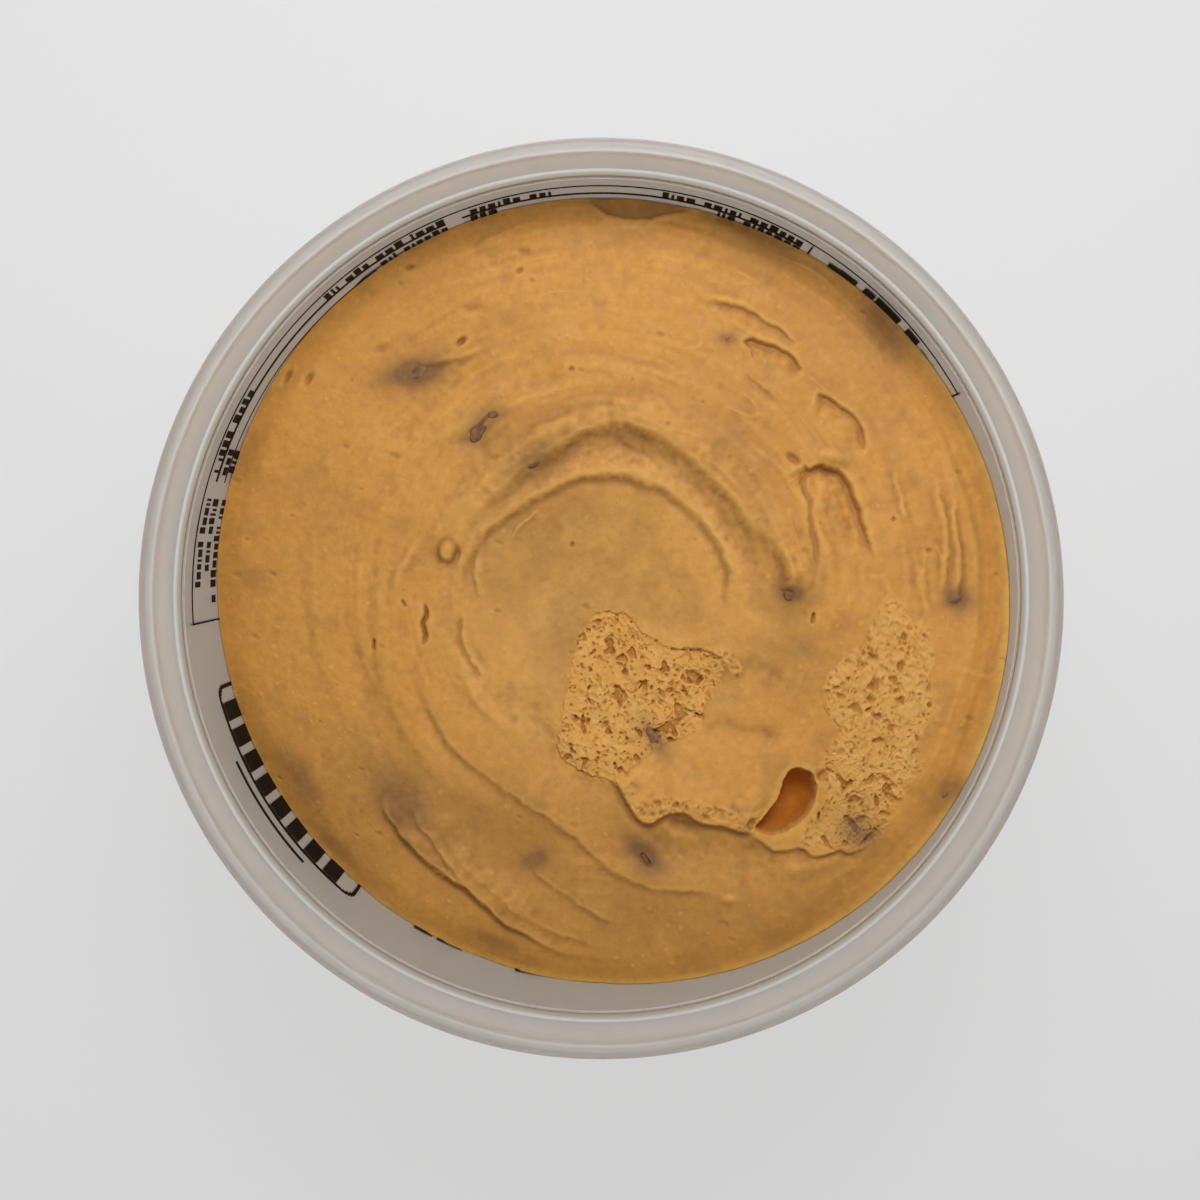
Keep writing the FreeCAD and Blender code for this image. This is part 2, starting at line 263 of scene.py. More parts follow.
# the lines and arcs turn anticlockwise, so their left side is the inside of the swirl; each has
# its course, its rise, its widths on the left and right, and the shares that fade in and out
SWIRL_LINES = [
    ([(26.9, -4.5), (26.2, 1.8), (23.6, 7), (19.9, 10.8), (15.6, 15.4), (10.3, 20.4), (4.4, 23.2),
      (-1.2, 22.6), (-8.6, 18.6), (-14.8, 13.8), (-19.4, 8.6), (-21.4, 4.0), (-23.9, -1.5)],
     1.2, 1.3, 3.2, 0.1, 0.25),
    ([(22.4, -2), (20.6, 4), (15, 11), (8.4, 17.6), (0, 19.6), (-8, 15.8), (-14, 11.8)],
     -0.6, 1.6, 1.6, 0.2, 0.3),
    ([(18.4, -6), (18.1, -1), (17.6, 3.4), (15.8, 7.6), (11.4, 12.3), (6.5, 15.2), (-0.8, 16.3),
      (-7.2, 14.0), (-13, 10.6), (-17.2, 7.2), (-19.6, 2.4), (-21.2, -3)], 0.75, 0.7, 2.0, 0.15, 0.25),
    ([(17, 27), (8, 29), (-2, 28.6), (-9, 26.6), (-15, 23.8), (-24, 19.8), (-33, 12.6)], 0.3, 1.6, 1.2),
    ([(12, 26.2), (3, 26.4), (-5, 24.6), (-12, 20.8), (-19, 14.4), (-24, 8.2)], -0.3, 1.0, 1.6),
    ([(31.4, -3), (30.6, 5), (27.4, 12), (22, 18.4), (17, 22.4)], 0.35, 1.6, 0.7),
    ([(-25, -8.3), (-23.6, -16), (-20.1, -21.9), (-14.2, -26.8), (-9.7, -29.9), (-4.4, -33.4),
      (-0.9, -36.4), (2.3, -39.0), (7.9, -41.0), (13, -40.9), (18, -41.4)], 0.42, 2.6, 0.6, 0.25, 0.12),
    ([(-19.6, -7), (-18.8, -12), (-16.6, -16.2), (-13.6, -19.2), (-10.6, -21.6)], 0.3, 1.6, 0.7),
]

# centre, radius, start, end and drift of the arc; then as above
SWIRL_ARCS = [
    (((0.0, -4.0), 27.4, 168, 250), -0.4, 3.0, 1.6),
    (((0.0, -5.0), 30.6, 150, 236), 0.32, 1.8, 1.0),
    (((0.0, -2.0), 33.4, 160, 206), 0.24, 1.5, 0.9),
    (((0.0, 0.0), 39.6, 168, 214), 0.24, 2.0, 1.0),
    (((2.0, -8.0), 35.2, 172, 218), -0.35, 3.2, 1.4),
    (((6.0, -16.0), 33.0, 205, 265, 1.0), 0.3, 3.0, 0.6),
    (((4.0, -13.0), 13.6, 178, 262), -0.7, 1.6, 3.6, 0.25, 0.3),
]

FREE_LINES = [
    # the fold on the low side, whose inner sheet lies on the roll against the wall
    ([(-30.4, -27), (-30.2, -30.3), (-28, -34), (-24, -38.4), (-20.4, -40.3), (-17, -43), (-13, -46.4),
      (-8, -49.3), (-3, -51.3)], 1.3, 4.2, 0.55),
    ([(-26.4, -30), (-25, -33), (-22.3, -37), (-18.6, -41)], 0.35, 2.6, 0.4, 0.18, 0.18),
    ([(-11, -37.5), (-8, -40), (-4, -43), (0, -45.2), (4, -46.5)], 0.32, 3.0, 0.5),
    # two dents of the knife's tip, steep on the far side
    ([(14.2, -15.5), (15.6, -12.4), (19.2, -10.4), (22.7, -11.3), (25.2, -13.8)],
     -0.45, 1.3, 4.5, 0.18, 0.18),
    ([(10.5, -21), (13, -19.8), (17, -18.8), (21.8, -19.6), (25, -22)], -0.6, 1.5, 4.0, 0.4, 0.2),
    # the torn front edge of the smear, and the hollow under it
    ([(1.5, -25.6), (3.6, -28.2), (5.0, -30.8), (6.6, -31.8), (9, -30.6), (11.4, -30.2), (13.5, -31.3),
      (17.5, -31.9), (21.5, -33.4)], 1.2, 5.0, 0.3, 0.08, 0.1),
    ([(20.5, -33), (24, -34.9), (27, -34.4), (29, -35.4), (32, -34.6), (34.2, -35.0), (37.3, -33.2)],
     0.7, 3.5, 0.4, 0.15, 0.3),
    ([(4, -34.4), (10, -35), (18, -35.8), (26, -38)], -0.75, 2.6, 4.0, 0.2, 0.3),
    ([(23, -38.2), (29, -36.9), (34.5, -35.6)], 0.35, 1.0, 1.2),
    # slots where the skin lifted, steep on the outside
    ([(14.6, 38.6), (16.5, 38.6), (19, 37.7), (22, 36.4), (24.6, 34.6), (26.4, 33)],
     -0.55, 0.25, 1.7, 0.25, 0.2),
    ([(13.2, 39.2), (15, 39.5), (18, 38.9), (21.5, 37.7)], 0.4, 0.7, 0.4),
    ([(19.2, 33.4), (20.6, 33.9), (23.4, 32.7), (25.8, 31.1), (27.2, 29.4)],
     -0.95, 0.25, 1.6, 0.1, 0.2),
    ([(29, 26.6), (31, 26), (33.2, 24.2), (34.9, 22.4), (35.3, 20.4), (35, 18.6)],
     -0.85, 0.25, 1.9, 0.12, 0.25),
    ([(18.6, 30.2), (22, 27.4), (24.5, 25.6)], -0.25, 0.3, 0.9),
    # the torn ledge, and the crease on the other side of its scoop
    ([(26.9, 17.6), (27.9, 16.6), (29.8, 17.0), (31.6, 16.2), (32.9, 14.8), (34.4, 11.6), (35.8, 7.6),
      (36.8, 4.2)], -1.5, 0.25, 2.8, 0.1, 0.3),
    ([(26.9, 16.3), (27.2, 14), (28.1, 11.6), (28.7, 7), (29.3, 2)], -0.4, 0.6, 0.35, 0.1, 0.3),
    # thin upright ridges by the high side's wall
    ([(39.4, 17), (40.2, 13), (41.2, 9.5)], 0.3, 0.4, 0.4, 0.18, 0.18),
    ([(44.6, 15.5), (46.2, 9), (46.3, 4), (45.6, -1)], 0.4, 0.4, 0.6, 0.18, 0.18),
    ([(46.9, 14), (47.9, 7), (48.1, 2), (47.6, -1.2)], 0.4, 0.35, 0.6, 0.3, 0.06),
    ([(42.9, 4), (43.2, -0.5), (44.2, -3.6)], 0.3, 0.4, 0.4, 0.18, 0.18),
    ([(24.2, 7), (25.4, 3), (25.7, 0)], 0.4, 0.5, 0.7, 0.3, 0.06),
    # a fold against the far wall
    ([(-2.5, 53.4), (1, 51.4), (5, 50.6), (9.5, 51.4), (13, 51.6)], -0.9, 1.8, 0.4, 0.25, 0.3),
    ([(12, 51.2), (17, 50.2), (23, 48.0), (28, 45.2)], -0.4, 1.4, 1.0),
    # shallow valleys on the far left
    ([(-16, 32), (-21, 27.5), (-25.5, 23.6), (-32, 19)], -0.6, 1.4, 2.6),
    ([(-15, 33.6), (-19, 31.8), (-22, 31.2), (-25.5, 31.2)], 0.35, 0.4, 0.8),
    ([(-4, 29.5), (-9, 28.2), (-13, 30)], -0.4, 2.0, 2.0),
    ([(-13.5, 18), (-18, 20.5), (-21, 19.5)], -0.35, 1.0, 1.5),
    # hairs and creases where the swirl starts
    ([(-12.6, 6.8), (-11, 8.8), (-8.6, 11.2)], 0.3, 0.2, 0.2, 0.3, 0.2),
    ([(-16.4, -2), (-17.2, 2), (-16.4, 5.4)], 0.3, 0.3, 1.2),
    ([(-19.8, -3.4), (-19.5, -7), (-18.2, -10), (-16.3, -13)], -0.35, 0.3, 0.8, 0.18, 0.18),
    ([(-28.5, -1.5), (-27.5, 3), (-25, 8)], 0.3, 0.6, 0.9),
]


def along_lines(table):
    """One mark for each row: its points, then the values that Mark takes."""
    return [Mark(smooth_line(points), *shape) for points, *shape in table]


KNIFE_MARKS = along_lines(SWIRL_LINES) + [Mark(arc(*sweep), *shape) for sweep, *shape in SWIRL_ARCS]
KNIFE_MARKS += along_lines(FREE_LINES)
print("%d knife marks" % len(KNIFE_MARKS))

# %% [markdown]
# ## Fine drag lines
#
# Between the large marks the knife leaves faint lines that run round the tub. They are
# noise stretched along the circle: its cells are many times longer round than across.
# Where such noise crosses zero it draws long thin curves, which serve as hair-thin ridges.
# A slow cloud lets all of them fade in some places, as when the knife lifts. Crumbs and
# burst bubbles are dots in the cells of a jittered lattice: each point looks at the nine
# cells round it, so thousands of dots need no loop over dots.

# %% Drag lines and small lumps
SWIRL_AT = (1.0, -1.0)
SWIRL_R = 36.0  # where the cells have their stated length


def round_swirl(x, y):
    """Radius and angle round the middle of the swirl."""
    dx, dy = x - SWIRL_AT[0], y - SWIRL_AT[1]
    return np.hypot(dx, dy), np.arctan2(dy, dx)


def swirl_noise(x, y, along, across, seed):
    """Noise on (turn, radius) cells: along mm round the circle and across mm in radius."""
    r, angle = round_swirl(x, y)
    turn = angle / (2 * np.pi) + 0.5
    cells = int(2 * np.pi * SWIRL_R / along)
    drift = (2.2 * np.sin(2 * np.pi * turn + seed) + 1.1 * cloud(x, y, 14.0, seed + 3)) / across
    return noise(turn * cells, r / across + drift, seed, turn_cells=cells)


def dots(x, y, cell, radius, share, seed):
    """Largest value, 1 at a dot's middle and 0 outside it, of the dots in nearby cells."""
    i, j = np.floor(x / cell), np.floor(y / cell)
    largest = np.zeros_like(x)
    for di in (-1, 0, 1):
        for dj in (-1, 0, 1):
            a, b = i + di, j + dj
            px = (a + 0.15 + 0.7 * lattice(a, b, seed)) * cell
            py = (b + 0.15 + 0.7 * lattice(a, b, seed + 1)) * cell
            size = radius * (0.45 + 0.9 * lattice(a, b, seed + 2))
            there = lattice(a, b, seed + 3) < share
            away = np.hypot(x - px, y - py) / size
            largest = np.maximum(largest, there * smooth_step(1.4 * (1 - away)))
    return largest


def fine_relief(x, y):
    """Drag lines and hairs where the knife pressed, swells of 10 and 3 mm, and dots."""
    toward = np.cos(np.arctan2(y, x) - np.radians(55))
    held = smooth_step(0.55 + 0.5 * toward + 0.9 * cloud(x, y, 13.0, 41))
    held *= 0.2 + 0.8 * smooth_step((round_swirl(x, y)[0] - 15.0) / 9.0)
    lines = 0.12 * swirl_noise(x, y, 17.0, 1.9, 11) + 0.06 * swirl_noise(x, y, 9.0, 0.75, 12)
    hair = np.exp(-((swirl_noise(x, y, 12.0, 2.6, 14) / 0.07) ** 2))
    hair *= smooth_step(2.2 * cloud(x, y, 5.0, 42, 2))
    swells = 0.26 * cloud(x, y, 9.0, 21, 2) + 0.10 * cloud(x, y, 2.6, 22, 2)
    crumbs = 0.08 * dots(x, y, 2.6, 0.42, 0.2, 24) + 0.05 * dots(x, y, 1.3, 0.2, 0.12, 28)
    burst = 0.12 * dots(x * 0.7 + y * 0.4, y, 4.6, 0.5, 0.16, 32)
    burst += 0.08 * dots(x, y, 2.9, 0.2, 0.1, 36)
    skin = 0.03 * cloud(x, y, 0.8, 23, 2)
    return held * (lines + 0.10 * hair) + swells + skin + crumbs - burst


# %% [markdown]
# ## Torn faces
#
# Where a piece was pulled out, the spread broke instead of smearing, and its airy crumb
# shows: crooked pits up to a millimetre long between ragged flakes. A pit is a place where
# a cloud rises above a level, so pits come out uneven and run together. The plan is bent
# by another cloud first. Each torn face has an outline with a ragged edge and a floor that
# lies a little askew, so it is deep at one end and stands proud at the other.

# %% Pits and flakes
def crumb_relief(x, y, airy):
    """Plates + torn ridges - crooked pits - small pits; also how deep in a pit, 0 to 1."""
    bent_x = x + 0.55 * cloud(x, y, 1.5, 71, 2)
    bent_y = y + 0.55 * cloud(x, y, 1.5, 72, 2)
    across = 0.82 * bent_x + 0.57 * bent_y
    along = 0.82 * bent_y - 0.57 * bent_x
    plates = (0.12 + 0.2 * airy) * cloud(x, y, 4.2, 73, 2)
    plates += 0.14 * cloud(across, along, 1.1, 74, 2)
    ridges = 0.12 * (1 - 2 * np.abs(noise(across / 0.75, along / 0.95, 75)))
    ridges += 0.08 * (1 - 2 * np.abs(noise(across / 0.34, along / 0.42, 76)))
    gather = 0.12 * cloud(x, y, 4.0, 78, 2)
    large = cloud(across, along * 0.8, 1.05, 77, 2) - 0.38 + 0.14 * airy + gather
    large = smooth_step(large / 0.36)
    small = cloud(across, along, 0.6, 79, 2) - 0.38 + 0.12 * airy + gather
    small = smooth_step(small / 0.28)
    spots = dots(bent_x, bent_y, 1.0, 0.26, 0.45 * airy + 0.1, 80)
    relief = plates + ridges - (0.2 + 0.34 * airy) * large - 0.18 * small - 0.28 * spots
    return relief, np.clip(0.75 * large + 0.35 * small + 0.7 * spots, 0, 1)


# %% Outlines of the torn faces and of the hole
class Outline:
    """A closed smooth line round a centre from which all of it is in sight."""

    def __init__(self, points, centre):
        self.line = smooth_line(points, steps=9, closed=True)
        self.centre = (centre[0], centre[1] + MARKS_BACK)

    def polar(self, x, y):
        """Direction and distance from the centre."""
        dx, dy = x - self.centre[0], y - self.centre[1]
        return np.arctan2(dy, dx), np.hypot(dx, dy)

    def reach(self, angle):
        """Distance from the centre to the outline in each direction."""
        turn, away = self.polar(*self.line.T)
        order = np.argsort(turn)
        return np.interp(angle, turn[order], away[order], period=2 * np.pi)


class Tear(Outline):
    """A torn face: its outline, how deep its floor is sunk and how it slopes, how airy its
    crumb is from 0 to 1, and over how many mm the crumb fades out at its edge."""

    def __init__(self, name, points, centre, sink, slope_x, slope_y, airy, fade):
        super().__init__(points, centre)
        self.name = name
        self.sink = sink
        self.slope_x = slope_x
        self.slope_y = slope_y
        self.airy = airy
        self.fade = fade

    def inside(self, x, y):
        """Distance inside the outline, measured along the ray from the centre."""
        turn, away = self.polar(x, y)
        ragged = 0.5 * cloud(x, y, 2.0, 51) + 0.35 * cloud(x, y, 0.8, 52)
        return self.reach(turn) - away + (ragged + 0.2 * cloud(x, y, 0.4, 53))

    def floor(self, x, y):
        """The broad level, lowered by sink and leaning by the two slopes."""
        dx, dy = x - self.centre[0], y - self.centre[1]
        return broad_level(x, y) - self.sink + self.slope_x * dx + self.slope_y * dy


TEARS = [
    Tear("crumb_middle", [(-2.3, -4.5), (0.1, -2.6), (3.3, -3.3), (6.5, -5.9), (9.7, -7.5),
                          (14.6, -8.1), (17.2, -9.6), (16.4, -12.2), (14.6, -15.6), (13.7, -18.9),
                          (9.3, -21.4), (5.5, -23.4), (4.2, -24.6), (2.4, -26.6), (-0.4, -26.2),
                          (-3.2, -25.2), (-5.8, -23.2), (-6.1, -21), (-5.2, -14.5),
                          (-4.2, -9.4)], (4.5, -14.5), 0.12, -0.03, -0.03, 1.0, 0.5),
    Tear("crumb_right", [(38.6, 0.4), (42.6, -2.6), (44.8, -6.0), (45.2, -12), (45.4, -16.2),
                         (43.8, -20), (43.8, -24.6), (41.4, -27.6), (39.4, -31.5), (36.2, -34.6),
                         (31, -35.4), (26.8, -35.0), (27.8, -32.0), (29.6, -28.8), (29.6, -25.4),
                         (29.4, -21.5), (31.4, -18), (29.8, -14.4), (31.0, -9.4), (35.4, -5.4)],
         (36.5, -23.0), 0.0, 0.0, 0.0, 0.8, 2.0),
]

HOLE = Outline([(26.9, -23.8), (28.4, -24.5), (29.2, -26), (29.0, -28.3), (27.9, -30.4),
                (25.8, -32.2), (23.3, -33.1), (21.2, -32.2), (22.3, -30.7), (23.8, -28.7),
                (24.5, -27.2), (24.9, -25.8), (25.7, -24.3)], (25.8, -28.8))
HOLE_DEPTH = 5.6


def hole_share(x, y):
    """0 at the middle of the hole and 1 at its rim, along the ray from its centre."""
    turn, away = HOLE.polar(x, y)
    return away / HOLE.reach(turn) + 0.05 * cloud(x, y, 1.3, 61)


# %% [markdown]
# ## Pits, cracks and crumbly edges
#
# Small pits are burst bubbles, and the cracks are narrow furrows where the drying skin
# parted. Along the torn front edge the crumb shows in a strip little more than a
# millimetre wide, so there it is added to the body itself.

# %% Pits, the bubble, cracks and rough edges
# each pit: place, radius, stretch, turn, depth
PITS = [
    ((11.2, -32.3), 1.0, 1.9, -18, 1.1), ((-40, 29), 0.45, 2.2, 55, 0.7),
    ((-43, 29.4), 0.4, 2.4, 58, 0.6), ((-19, 34), 0.35, 1.9, 40, 1.0),
    ((-26, 44), 0.35, 1.6, 20, 0.5), ((-11, 43.5), 0.3, 1.5, 30, 0.5),
    ((-10.5, 46), 0.5, 1.9, -10, 0.3), ((-30, 33), 0.6, 1.8, 20, 0.35),
    ((-17.5, 38.5), 0.7, 1.9, 5, 0.35), ((-4, 30.2), 0.25, 1.4, 0, 0.5),
    ((-4, 6.3), 0.22, 1.5, 80, 0.5), ((30.2, -25.0), 0.7, 1.3, 40, 1.4),
    ((-17, -9.5), 0.9, 2.4, -62, 0.3), ((-12, -18), 0.7, 1.0, 0, 0.2),
    ((39.4, 9.9), 0.2, 1.3, 90, 0.5), ((44, 5.7), 0.3, 1.2, 0, 0.3),
]

# lumps, and the sharp dents beside them: place, radius, stretch, turn, rise
LUMPS = [
    ((-19.9, 4.9), 0.4, 2.4, 80, -0.7), ((17.6, -42.2), 0.7, 1.5, 0, 0.5),
    ((16.2, -9.2), 1.3, 1, 0, 0.6), ((31.2, 18.4), 1.1, 2.0, -12, 1.0),
    ((26.0, 18.0), 0.5, 2, -40, -0.8),
]

BUBBLE_AT = (-21.2, 5.4)

# each crack: its course, then depth and widths as for a knife mark
CRACKS = along_lines([
    ([(-24.5, -1.5), (-24.2, -3.4), (-24.7, -4.6), (-24.4, -6.4), (-24.9, -8)], -1.3, 0.26, 0.26),
    ([(-27.6, -1.2), (-27, -2.4)], -0.7, 0.15, 0.15),
    ([(-31.5, -6.6), (-31.6, -8.6)], -0.8, 0.15, 0.15),
    ([(28.8, -2.6), (28.6, -4.4)], -0.9, 0.17, 0.17),
    ([(5.4, -36.2), (7, -38.2)], -0.8, 0.25, 0.25),
    ([(-18.4, 21.4), (-16.6, 22.6), (-15, 24.4)], -0.5, 0.25, 0.25),
])

# strips of crumb: the course and the width
ROUGH_EDGES = [
    (smooth_line([(3.0, -26.6), (4.6, -29.1), (6.4, -30.0), (9.5, -29.4), (13.5, -29.8),
                  (17.5, -30.8), (21.3, -32.0)]), 1.2),
    (smooth_line([(14.5, -8.5), (17.4, -9.4), (18.6, -11.0)]), 0.9),
]


def dent_and_lift(height, x, y):
    """Adds the pits, the bubble, the lumps, the cracks and the strips of crumb."""
    for at, size, stretch, turn, depth in PITS:
        height -= depth * bump(x, y, at, size, stretch, turn)
    bubble = bump(x, y, BUBBLE_AT, 1.15, 1.25, 85)
    height += smooth_step(2.2 * bubble - 0.5) + 0.3 * bubble
    for at, size, stretch, turn, rise in LUMPS:
        height += rise * bump(x, y, at, size, stretch, turn)
    for crack in CRACKS:
        crack.add_to(height, x, y)
    for line, width in ROUGH_EDGES:
        near, off = nearest_on_line(x, y, line, 2.2 * width)[:2]
        relief = crumb_relief(x[near], y[near], 0.6)[0]
        height[near] += relief * smooth_step(2 - 1.6 * np.abs(off) / width)


# %% [markdown]
# ## The whole surface
#
# Now the pieces of height are added up. The plan is bent a little first, which makes every
# knife mark waver and gives its edge small teeth. The smooth skin is kept apart from the
# holes in it, because the crumb pieces need the skin's own height where they meet it.

# %% Height of the skin and of the body
RECESS = 2.4  # how deep the body is sunk under the crumb's own pieces


def skin_height(x, y):
    """Broad level + knife marks on a slightly bent plan + fine relief + dents."""
    bent_x = x + 0.45 * cloud(x, y, 3.4, 43, 2) + 0.18 * cloud(x, y, 0.9, 44, 2)
    bent_y = y + 0.45 * cloud(x, y, 3.4, 45, 2) + 0.18 * cloud(x, y, 0.9, 46, 2)
    marks = np.zeros_like(x)
    for mark in KNIFE_MARKS:
        mark.add_to(marks, bent_x, bent_y)
    height = broad_level(x, y) + marks + fine_relief(x, y)
    dent_and_lift(height, x, y)
    return height


def hole_drop(x, y):
    """HOLE_DEPTH * (1 - share^3)^0.6: steep at the rim and flat at the bottom."""
    return HOLE_DEPTH * np.clip(1.0 - hole_share(x, y) ** 3, 0.0, 1.0) ** 0.6


def torn_drop(x, y):
    """RECESS inside each torn face, where the crumb's own piece takes over."""
    return sum(RECESS * smooth_step((tear.inside(x, y) - 0.2) / 0.5) for tear in TEARS)


# %% [markdown]
# ## From heights to a closed solid
#
# A square grid pushed onto a disc keeps its cells nearly even and has no crowded pole in
# the middle, as a fan of rings would have. The border of the grid is found by walking
# round it. Below it come rings that run down the sides and a fan that closes the floor,
# so each piece is one watertight solid.

# %% Disc grids and closed pads
def disc_grid(count):
    """A square grid of u, v pushed onto the unit disc: x = u sqrt(1 - v^2/2), y alike."""
    side = np.linspace(-1.0, 1.0, count)
    u, v = np.meshgrid(side, side)
    return u * np.sqrt(1 - v**2 / 2), v * np.sqrt(1 - u**2 / 2)


def border(count):
    """Numbers of the grid's border points, anticlockwise seen from above."""
    index = np.arange(count * count).reshape(count, count)
    return np.concatenate([index[0, :-1], index[:-1, -1], index[-1, :0:-1], index[:0:-1, 0]])


def grid_faces(count):
    """Quads of a square grid, facing up."""
    index = np.arange(count * count).reshape(count, count)
    corners = index[:-1, :-1], index[:-1, 1:], index[1:, 1:], index[1:, :-1]
    return np.stack(corners, axis=-1).reshape(-1, 4)


def ring_faces(upper, lower):
    """Quads between two rings of point numbers, facing out."""
    return np.stack([lower, np.roll(lower, -1), np.roll(upper, -1), upper], axis=1)


def add_object(name, data):
    """An object that holds the data, in the scene."""
    made = bpy.data.objects.new(name, data)
    bpy.context.collection.objects.link(made)
    return made


def new_piece(name, points, faces, smooth=True):
    """A mesh object from points in millimetres and lists of faces."""
    mesh = bpy.data.meshes.new(name)
    mesh.from_pydata((np.asarray(points) * MM).tolist(), [], [list(face) for face in faces])
    mesh.shade_smooth() if smooth else mesh.shade_flat()
    piece = add_object(name, mesh)
    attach(piece, "root")
    print("%s: %d faces" % (name, len(mesh.polygons)))
    return piece


def closed_pad(name, top, rings, floor_centre):
    """A solid with a gridded top, rings that lead down from its border, and a fan below."""
    count = top.shape[0]
    points = [top.reshape(-1, 3)] + list(rings) + [np.array([floor_centre])]
    faces = grid_faces(count).tolist()
    upper = border(count)
    start = count * count
    for ring in rings:
        lower = np.arange(start, start + len(ring))
        faces += ring_faces(upper, lower).tolist()
        upper, start = lower, start + len(ring)
    centre = np.full(len(upper), start)
    faces += np.stack([centre, np.roll(upper, -1), upper], axis=1).tolist()
    return new_piece(name, np.vstack(points), faces)


def give_colours(piece, colours):
    """One colour for each point, as the attribute "tint" that the finish reads."""
    layer = piece.data.color_attributes.new("tint", "FLOAT_COLOR", "POINT")
    rgba = np.ones((len(piece.data.vertices), 4))
    rgba[:len(colours), :3] = colours
    layer.data.foreach_set("color", rgba.ravel())


def give_normals(piece, directions):
    """Shades the gridded faces by the given directions, and each other face by its own."""
    mesh = piece.data
    corners = np.zeros(len(mesh.loops), dtype=int)
    sizes = np.zeros(len(mesh.polygons), dtype=int)
    own = np.zeros(3 * len(mesh.polygons))
    mesh.loops.foreach_get("vertex_index", corners)
    mesh.polygons.foreach_get("loop_total", sizes)
    mesh.polygons.foreach_get("normal", own)
    gridded = (directions.shape[0] - 1) * (directions.shape[1] - 1)
    top = np.repeat(np.arange(len(sizes)) < gridded, sizes)
    normals = np.repeat(own.reshape(-1, 3), sizes, axis=0)
    normals[top] = directions.reshape(-1, 3)[corners[top]]
    mesh.normals_split_custom_set(normals.tolist())


def stands_out(z, rounds):
    """Height less its local mean: the mean of four neighbours, taken again and again."""
    soft = z.copy()
    for _ in range(rounds):
        four = soft[:-2, 1:-1] + soft[2:, 1:-1] + soft[1:-1, :-2] + soft[1:-1, 2:]
        soft[1:-1, 1:-1] = four / 4
    return z - soft


# %% [markdown]
# ## Bits of meat, and the stains they leave
#
# Small bits of cured meat lie in the spread. Few stand clear: most are covered by a thin
# smear, which turns their dark red to a soft grey-brown. So each bit has a place, a size
# and a stain round it. The stain is painted on the spread, and the bit itself is a lump
# that is almost sunk.

# %% Where the bits are
# each bit: place, length, width, turn, how far it stands out, strength of its stain
BITS = [
    ((-25.4, 29.8), 3.0, 1.5, 12, 0.2, 0.8), ((-16.4, 22.2), 2.2, 1.2, 55, 0.2, 0.55),
    ((-14.6, 24.2), 1.3, 0.8, 10, 0.2, 0.5), ((-9.2, 18.2), 2.4, 1.4, 25, -0.3, 0.5),
    ((17.2, 34.2), 0.8, 0.6, 0, 0.1, 0.5), ((25.8, -0.2), 1.3, 1.0, 0, 0.05, 0.75),
    ((47.8, -0.9), 1.4, 1.2, 0, 0.05, 0.75), ((47.0, -27), 1.9, 1.2, 40, -0.1, 0.55),
    ((34.8, -32.4), 1.9, 1.5, -30, 0.1, 0.6), ((6.0, -36.6), 2.2, 1.0, -40, 0.2, 0.85),
    ((-9.2, -37.6), 1.4, 1.0, 20, -0.2, 0.6), ((-28.0, -29.8), 3.8, 2.2, -50, -0.9, 0.62),
    ((-48.2, 1.6), 1.6, 1.3, 0, -0.5, 0.3), ((38.4, 35.0), 3.2, 1.6, -50, -0.1, 0.6),
    ((-27.3, 9.0), 1.1, 0.8, 40, -0.5, 0.2), ((27, -7.8), 1.3, 0.8, 20, -0.3, 0.25),
    ((-48, 20.0), 1.2, 0.9, 40, -0.4, 0.25), ((4, 20.6), 2.6, 0.9, 0, -0.6, 0.25),
    ((3.0, 52.0), 3.6, 1.1, 0, -0.5, 0.3), ((21.0, 47.4), 3.6, 0.9, -25, -0.5, 0.32),
    ((-42.0, -27.0), 3.2, 1.0, -58, -0.6, 0.5), ((-14.6, -49.6), 2.4, 0.8, -20, -0.6, 0.4),
    ((7.4, -20.4), 2.0, 0.8, -55, 0.3, 0.6), ((-38.0, -36.0), 2.6, 0.7, -46, -0.6, 0.4),
]


def stains(x, y):
    """From 0 to 1: ovals round the bits, ragged by a cloud, the strongest one kept."""
    wander = 0.35 * cloud(x, y, 1.6, 81)
    shade = np.zeros_like(x)
    for at, length, width, turn, proud, strength in BITS:
        spot = bump(x, y, at, 1.35 * width, length / width, turn)
        halo = 0.3 * bump(x, y, at, 2.6 * width, length / width, turn)
        shade = np.maximum(shade, strength * np.clip((spot + halo) * (1 + wander), 0, 1))
    return shade


# %% [markdown]
# ## Colour of the spread
#
# The spread is pale in the middle, where it was smeared thin and dried, and a deeper
# orange against the wall. Clouds of both colours keep it from looking like plastic. The
# colours are mixed for each point with the same arrays that gave the height, so that a
# stain lies exactly on its bit, what stands out gets a painted highlight, a groove gets
# painted shade, and the hole is painted darker with its depth.

# %% Mixing the colours
def paint(red, green, blue):
    """Screen values from 0 to 255, as the linear colour that a shader needs."""
    share = np.array([red, green, blue]) / 255.0
    return np.where(share <= 0.04045, share / 12.92, ((share + 0.055) / 1.055) ** 2.4)


def mix(first, second, share):
    """first * (1 - share) + second * share, point by point."""
    return first + (second - first) * np.clip(share, 0, 1)[..., None]


SPREAD_BODY = paint(221, 158, 77)
SPREAD_PALE = paint(226, 169, 90)
# painted highlight, on what stands out and on the bubble's lump
SPREAD_HIGHLIGHT = paint(234, 178, 96)
SPREAD_DEEP = paint(220, 154, 73)
SPREAD_DULL = paint(184, 131, 68)
# darker tone for the dark patches, and painted shade in the grooves
SPREAD_DARK_AND_SHADE = paint(170, 119, 66)
# painted shade for the inside of the hole
SPREAD_HOLE_SHADE = paint(200, 124, 44)
SPREAD_FILM = paint(228, 182, 90)
MEAT_STAIN = paint(122, 86, 62)
